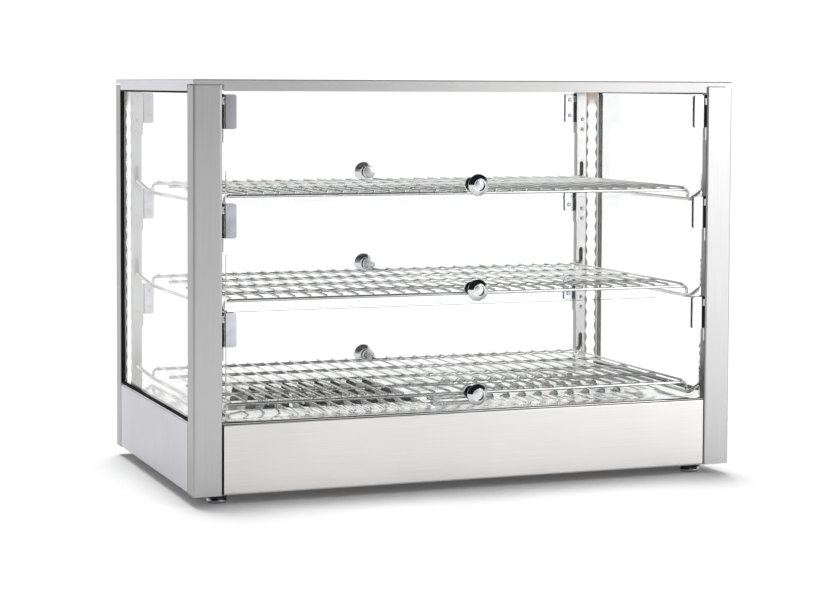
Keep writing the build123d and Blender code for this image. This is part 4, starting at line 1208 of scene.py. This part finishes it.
class CASE_OT_build_stage(CaseOperator, bpy.types.Operator):
    """Set up the pale floor, the white surroundings, the softboxes and the camera"""

    bl_idname = "display_case.build_stage"
    bl_label = "Build stage"

    def execute(self, context):
        studio = context.scene.case_studio
        context.scene.view_settings.view_transform = "Standard"
        self.surroundings(context.scene, studio)
        ground = self.floor(studio)
        self.lights(studio, ground)
        self.camera(context.scene, studio)
        return {"FINISHED"}

    def surroundings(self, scene, studio):
        """White for the eye, a dark room round a white backdrop for mirrors, softer as a light."""
        world = bpy.data.worlds.new("white_surroundings")
        world.use_nodes = True
        tree = world.node_tree
        seen = new_node(tree, "ShaderNodeBackground", Color=WHITE, Strength=1.0)
        mirrored = new_node(tree, "ShaderNodeBackground", Color=WHITE, Strength=self.room(tree, studio))
        below = tree.nodes["Background"]
        feed(tree, below, Color=WHITE, Strength=studio.sky)
        path = tree.nodes.new("ShaderNodeLightPath").outputs
        direct = maths(tree, "MAXIMUM", path["Is Camera Ray"], path["Is Transmission Ray"])
        glossy = maths(tree, "GREATER_THAN", path["Glossy Depth"], 0.5)
        glossy = maths(tree, "MULTIPLY", glossy, maths(tree, "SUBTRACT", 1.0, path["Is Diffuse Ray"]))
        for share, layer in ((direct, seen), (glossy, mirrored)):
            both = tree.nodes.new("ShaderNodeMixShader")
            for socket, value in zip(both.inputs, (share, below.outputs[0], layer.outputs[0])):
                tree.links.new(value, socket)
            below = both
        tree.links.new(below.outputs[0], tree.nodes["World Output"].inputs["Surface"])
        scene.world = world

    def room(self, tree, studio):
        """Brightness by direction: white up to the backdrop's edge, dark above it and on the dark side."""
        direction = tree.nodes.new("ShaderNodeTexCoord").outputs["Generated"]
        axes = split(tree, direction)
        rise = maths(tree, "MULTIPLY", maths(tree, "MAXIMUM", axes["Y"], 0.0), studio.back_rise)
        edge = [math.sin(studio.backdrop + way * studio.blur / 2) for way in (-1, 1)]
        low = ramp(tree, maths(tree, "SUBTRACT", axes["Z"], rise), *edge, 1.0, 0.0)
        dark = (-math.sin(studio.dark_side), -math.cos(studio.dark_side), 0.0)
        side = ramp(tree, vector_maths(tree, "DOT_PRODUCT", direction, dark), math.cos(studio.dark_reach),
                    math.cos(studio.dark_core), 1.0, 0.0)
        return spread(tree, maths(tree, "MULTIPLY", low, side), studio.room, 1.0)

    def floor(self, studio):
        """Pale floor that goes white away from the object's shadow and rises a little far behind."""
        bm = bmesh.new()
        bmesh.ops.create_grid(bm, x_segments=8, y_segments=8, size=studio.ground_reach)
        for vert in bm.verts:
            vert.co.z = max(0.0, vert.co.y - studio.ground_rise) * studio.ground_slope
        material, tree, shader, place = blank_finish("pale_floor")
        film = use_group(tree, wiped_film(), place, Size=3.0)["Mask"]
        tone = blend_colours(tree, film, studio.ground, scaled(studio.ground, 0.9945))
        feed(tree, shader, Base_Color=tone, Roughness=1.0, Specular_IOR_Level=0.0, Emission_Color=WHITE,
             Emission_Strength=studio.ground_glow)
        mesh = bpy.data.meshes.new("studio_floor")
        bm.to_mesh(mesh)
        bm.free()
        mesh.materials.append(material)
        piece = bpy.data.objects.new("studio_floor", mesh)
        bpy.context.scene.collection.objects.link(piece)
        return piece

    def lights(self, studio, ground):
        """Softbox on the right, a near strip, a broad light on the ground and a wide one on the cover."""
        side = studio.key_side
        place = (studio.key_reach * math.sin(side), -studio.key_reach * math.cos(side), studio.key_height)
        self.soft_light("right_softbox", studio.key, place, studio.key_aim,
                        studio.key_width, studio.key_width)
        self.soft_light("near_strip", studio.strip, studio.strip_place, studio.strip_aim,
                        studio.strip_width, studio.strip_height)
        self.shine_on(ground, "ground_light", studio.top, studio.top_spread, -studio.top_lean)
        self.shine_on(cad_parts["top_cover"], "cover_light", studio.dome, studio.dome_spread, 0.0)

    def soft_light(self, name, power, place, aim, width, height):
        """Area light at a place that faces a point."""
        lamp = bpy.data.lights.new(name, "AREA")
        lamp.shape = "RECTANGLE"
        lamp.size = width
        lamp.size_y = height
        lamp.energy = power
        turn = (Vector(aim) - Vector(place)).to_track_quat("-Z", "Y").to_matrix().to_4x4()
        self.hang(lamp, Matrix.Translation(place) @ turn)

    def shine_on(self, target, name, strength, size, lean):
        """Far light from above that falls on one object alone."""
        lamp = bpy.data.lights.new(name, "SUN")
        lamp.energy = strength
        lamp.angle = size
        lit = bpy.data.collections.new(name + "_target")
        lit.objects.link(target)
        self.hang(lamp, Matrix.Rotation(lean, 4, "X")).light_linking.receiver_collection = lit

    def hang(self, lamp, matrix):
        """Link a lamp at its place."""
        holder = bpy.data.objects.new(lamp.name, lamp)
        holder.matrix_world = matrix
        bpy.context.scene.collection.objects.link(holder)
        return holder

    def camera(self, scene, studio):
        """Camera at the photograph's viewing angle."""
        data = bpy.data.cameras.new("camera")
        data.sensor_width = 36.0
        data.lens = studio.lens
        data.shift_x = studio.shift_x
        data.shift_y = studio.shift_y
        data.clip_start = 0.05
        data.clip_end = 100.0
        level = math.radians(90.0) - studio.pitch
        turn = Matrix.Rotation(-studio.yaw, 4, "Z") @ Matrix.Rotation(level, 4, "X")
        turn = turn @ Matrix.Rotation(studio.roll, 4, "Z")
        camera = bpy.data.objects.new("camera", data)
        camera.matrix_world = Matrix.Translation(studio.place) @ turn
        scene.collection.objects.link(camera)
        scene.camera = camera


OPERATORS = (
    CASE_OT_dress_sheet,
    CASE_OT_dress_glass,
    CASE_OT_dress_lamps,
    CASE_OT_build_floor,
    CASE_OT_build_knobs,
    CASE_OT_build_clips,
    CASE_OT_build_straps,
    CASE_OT_build_shelves,
    CASE_OT_build_rails,
    CASE_OT_build_probe,
    CASE_OT_build_feet,
    CASE_OT_build_controls,
    CASE_OT_build_stage,
)
SETTINGS = {
    "case_wires": CaseWires,
    "case_doors": CaseDoors,
    "case_floor": CaseFloor,
    "case_fittings": CaseFittings,
    "case_colours": CaseColours,
    "case_studio": CaseStudio,
}


class CASE_PT_panel(bpy.types.Panel):
    """Steps of the display case in the sidebar"""

    bl_idname = "CASE_PT_panel"
    bl_label = "Display Case"
    bl_space_type = "VIEW_3D"
    bl_region_type = "UI"
    bl_category = "Display Case"

    def draw(self, context):
        for operator in OPERATORS:
            self.layout.operator(operator.bl_idname)
        for setting, kind in SETTINGS.items():
            column = self.layout.box().column()
            for field in kind.__annotations__:
                column.prop(getattr(context.scene, setting), field)


def register():
    for kind in (*SETTINGS.values(), *OPERATORS, CASE_PT_panel):
        bpy.utils.register_class(kind)
    for setting, kind in SETTINGS.items():
        setattr(bpy.types.Scene, setting, PointerProperty(type=kind))


def unregister():
    for setting in SETTINGS:
        delattr(bpy.types.Scene, setting)
    for kind in reversed((*SETTINGS.values(), *OPERATORS, CASE_PT_panel)):
        bpy.utils.unregister_class(kind)


def main():
    register()
    for operator in OPERATORS:
        group, name = operator.bl_idname.split(".")
        getattr(getattr(bpy.ops, group), name)()


if __name__ == "__main__":
    main()
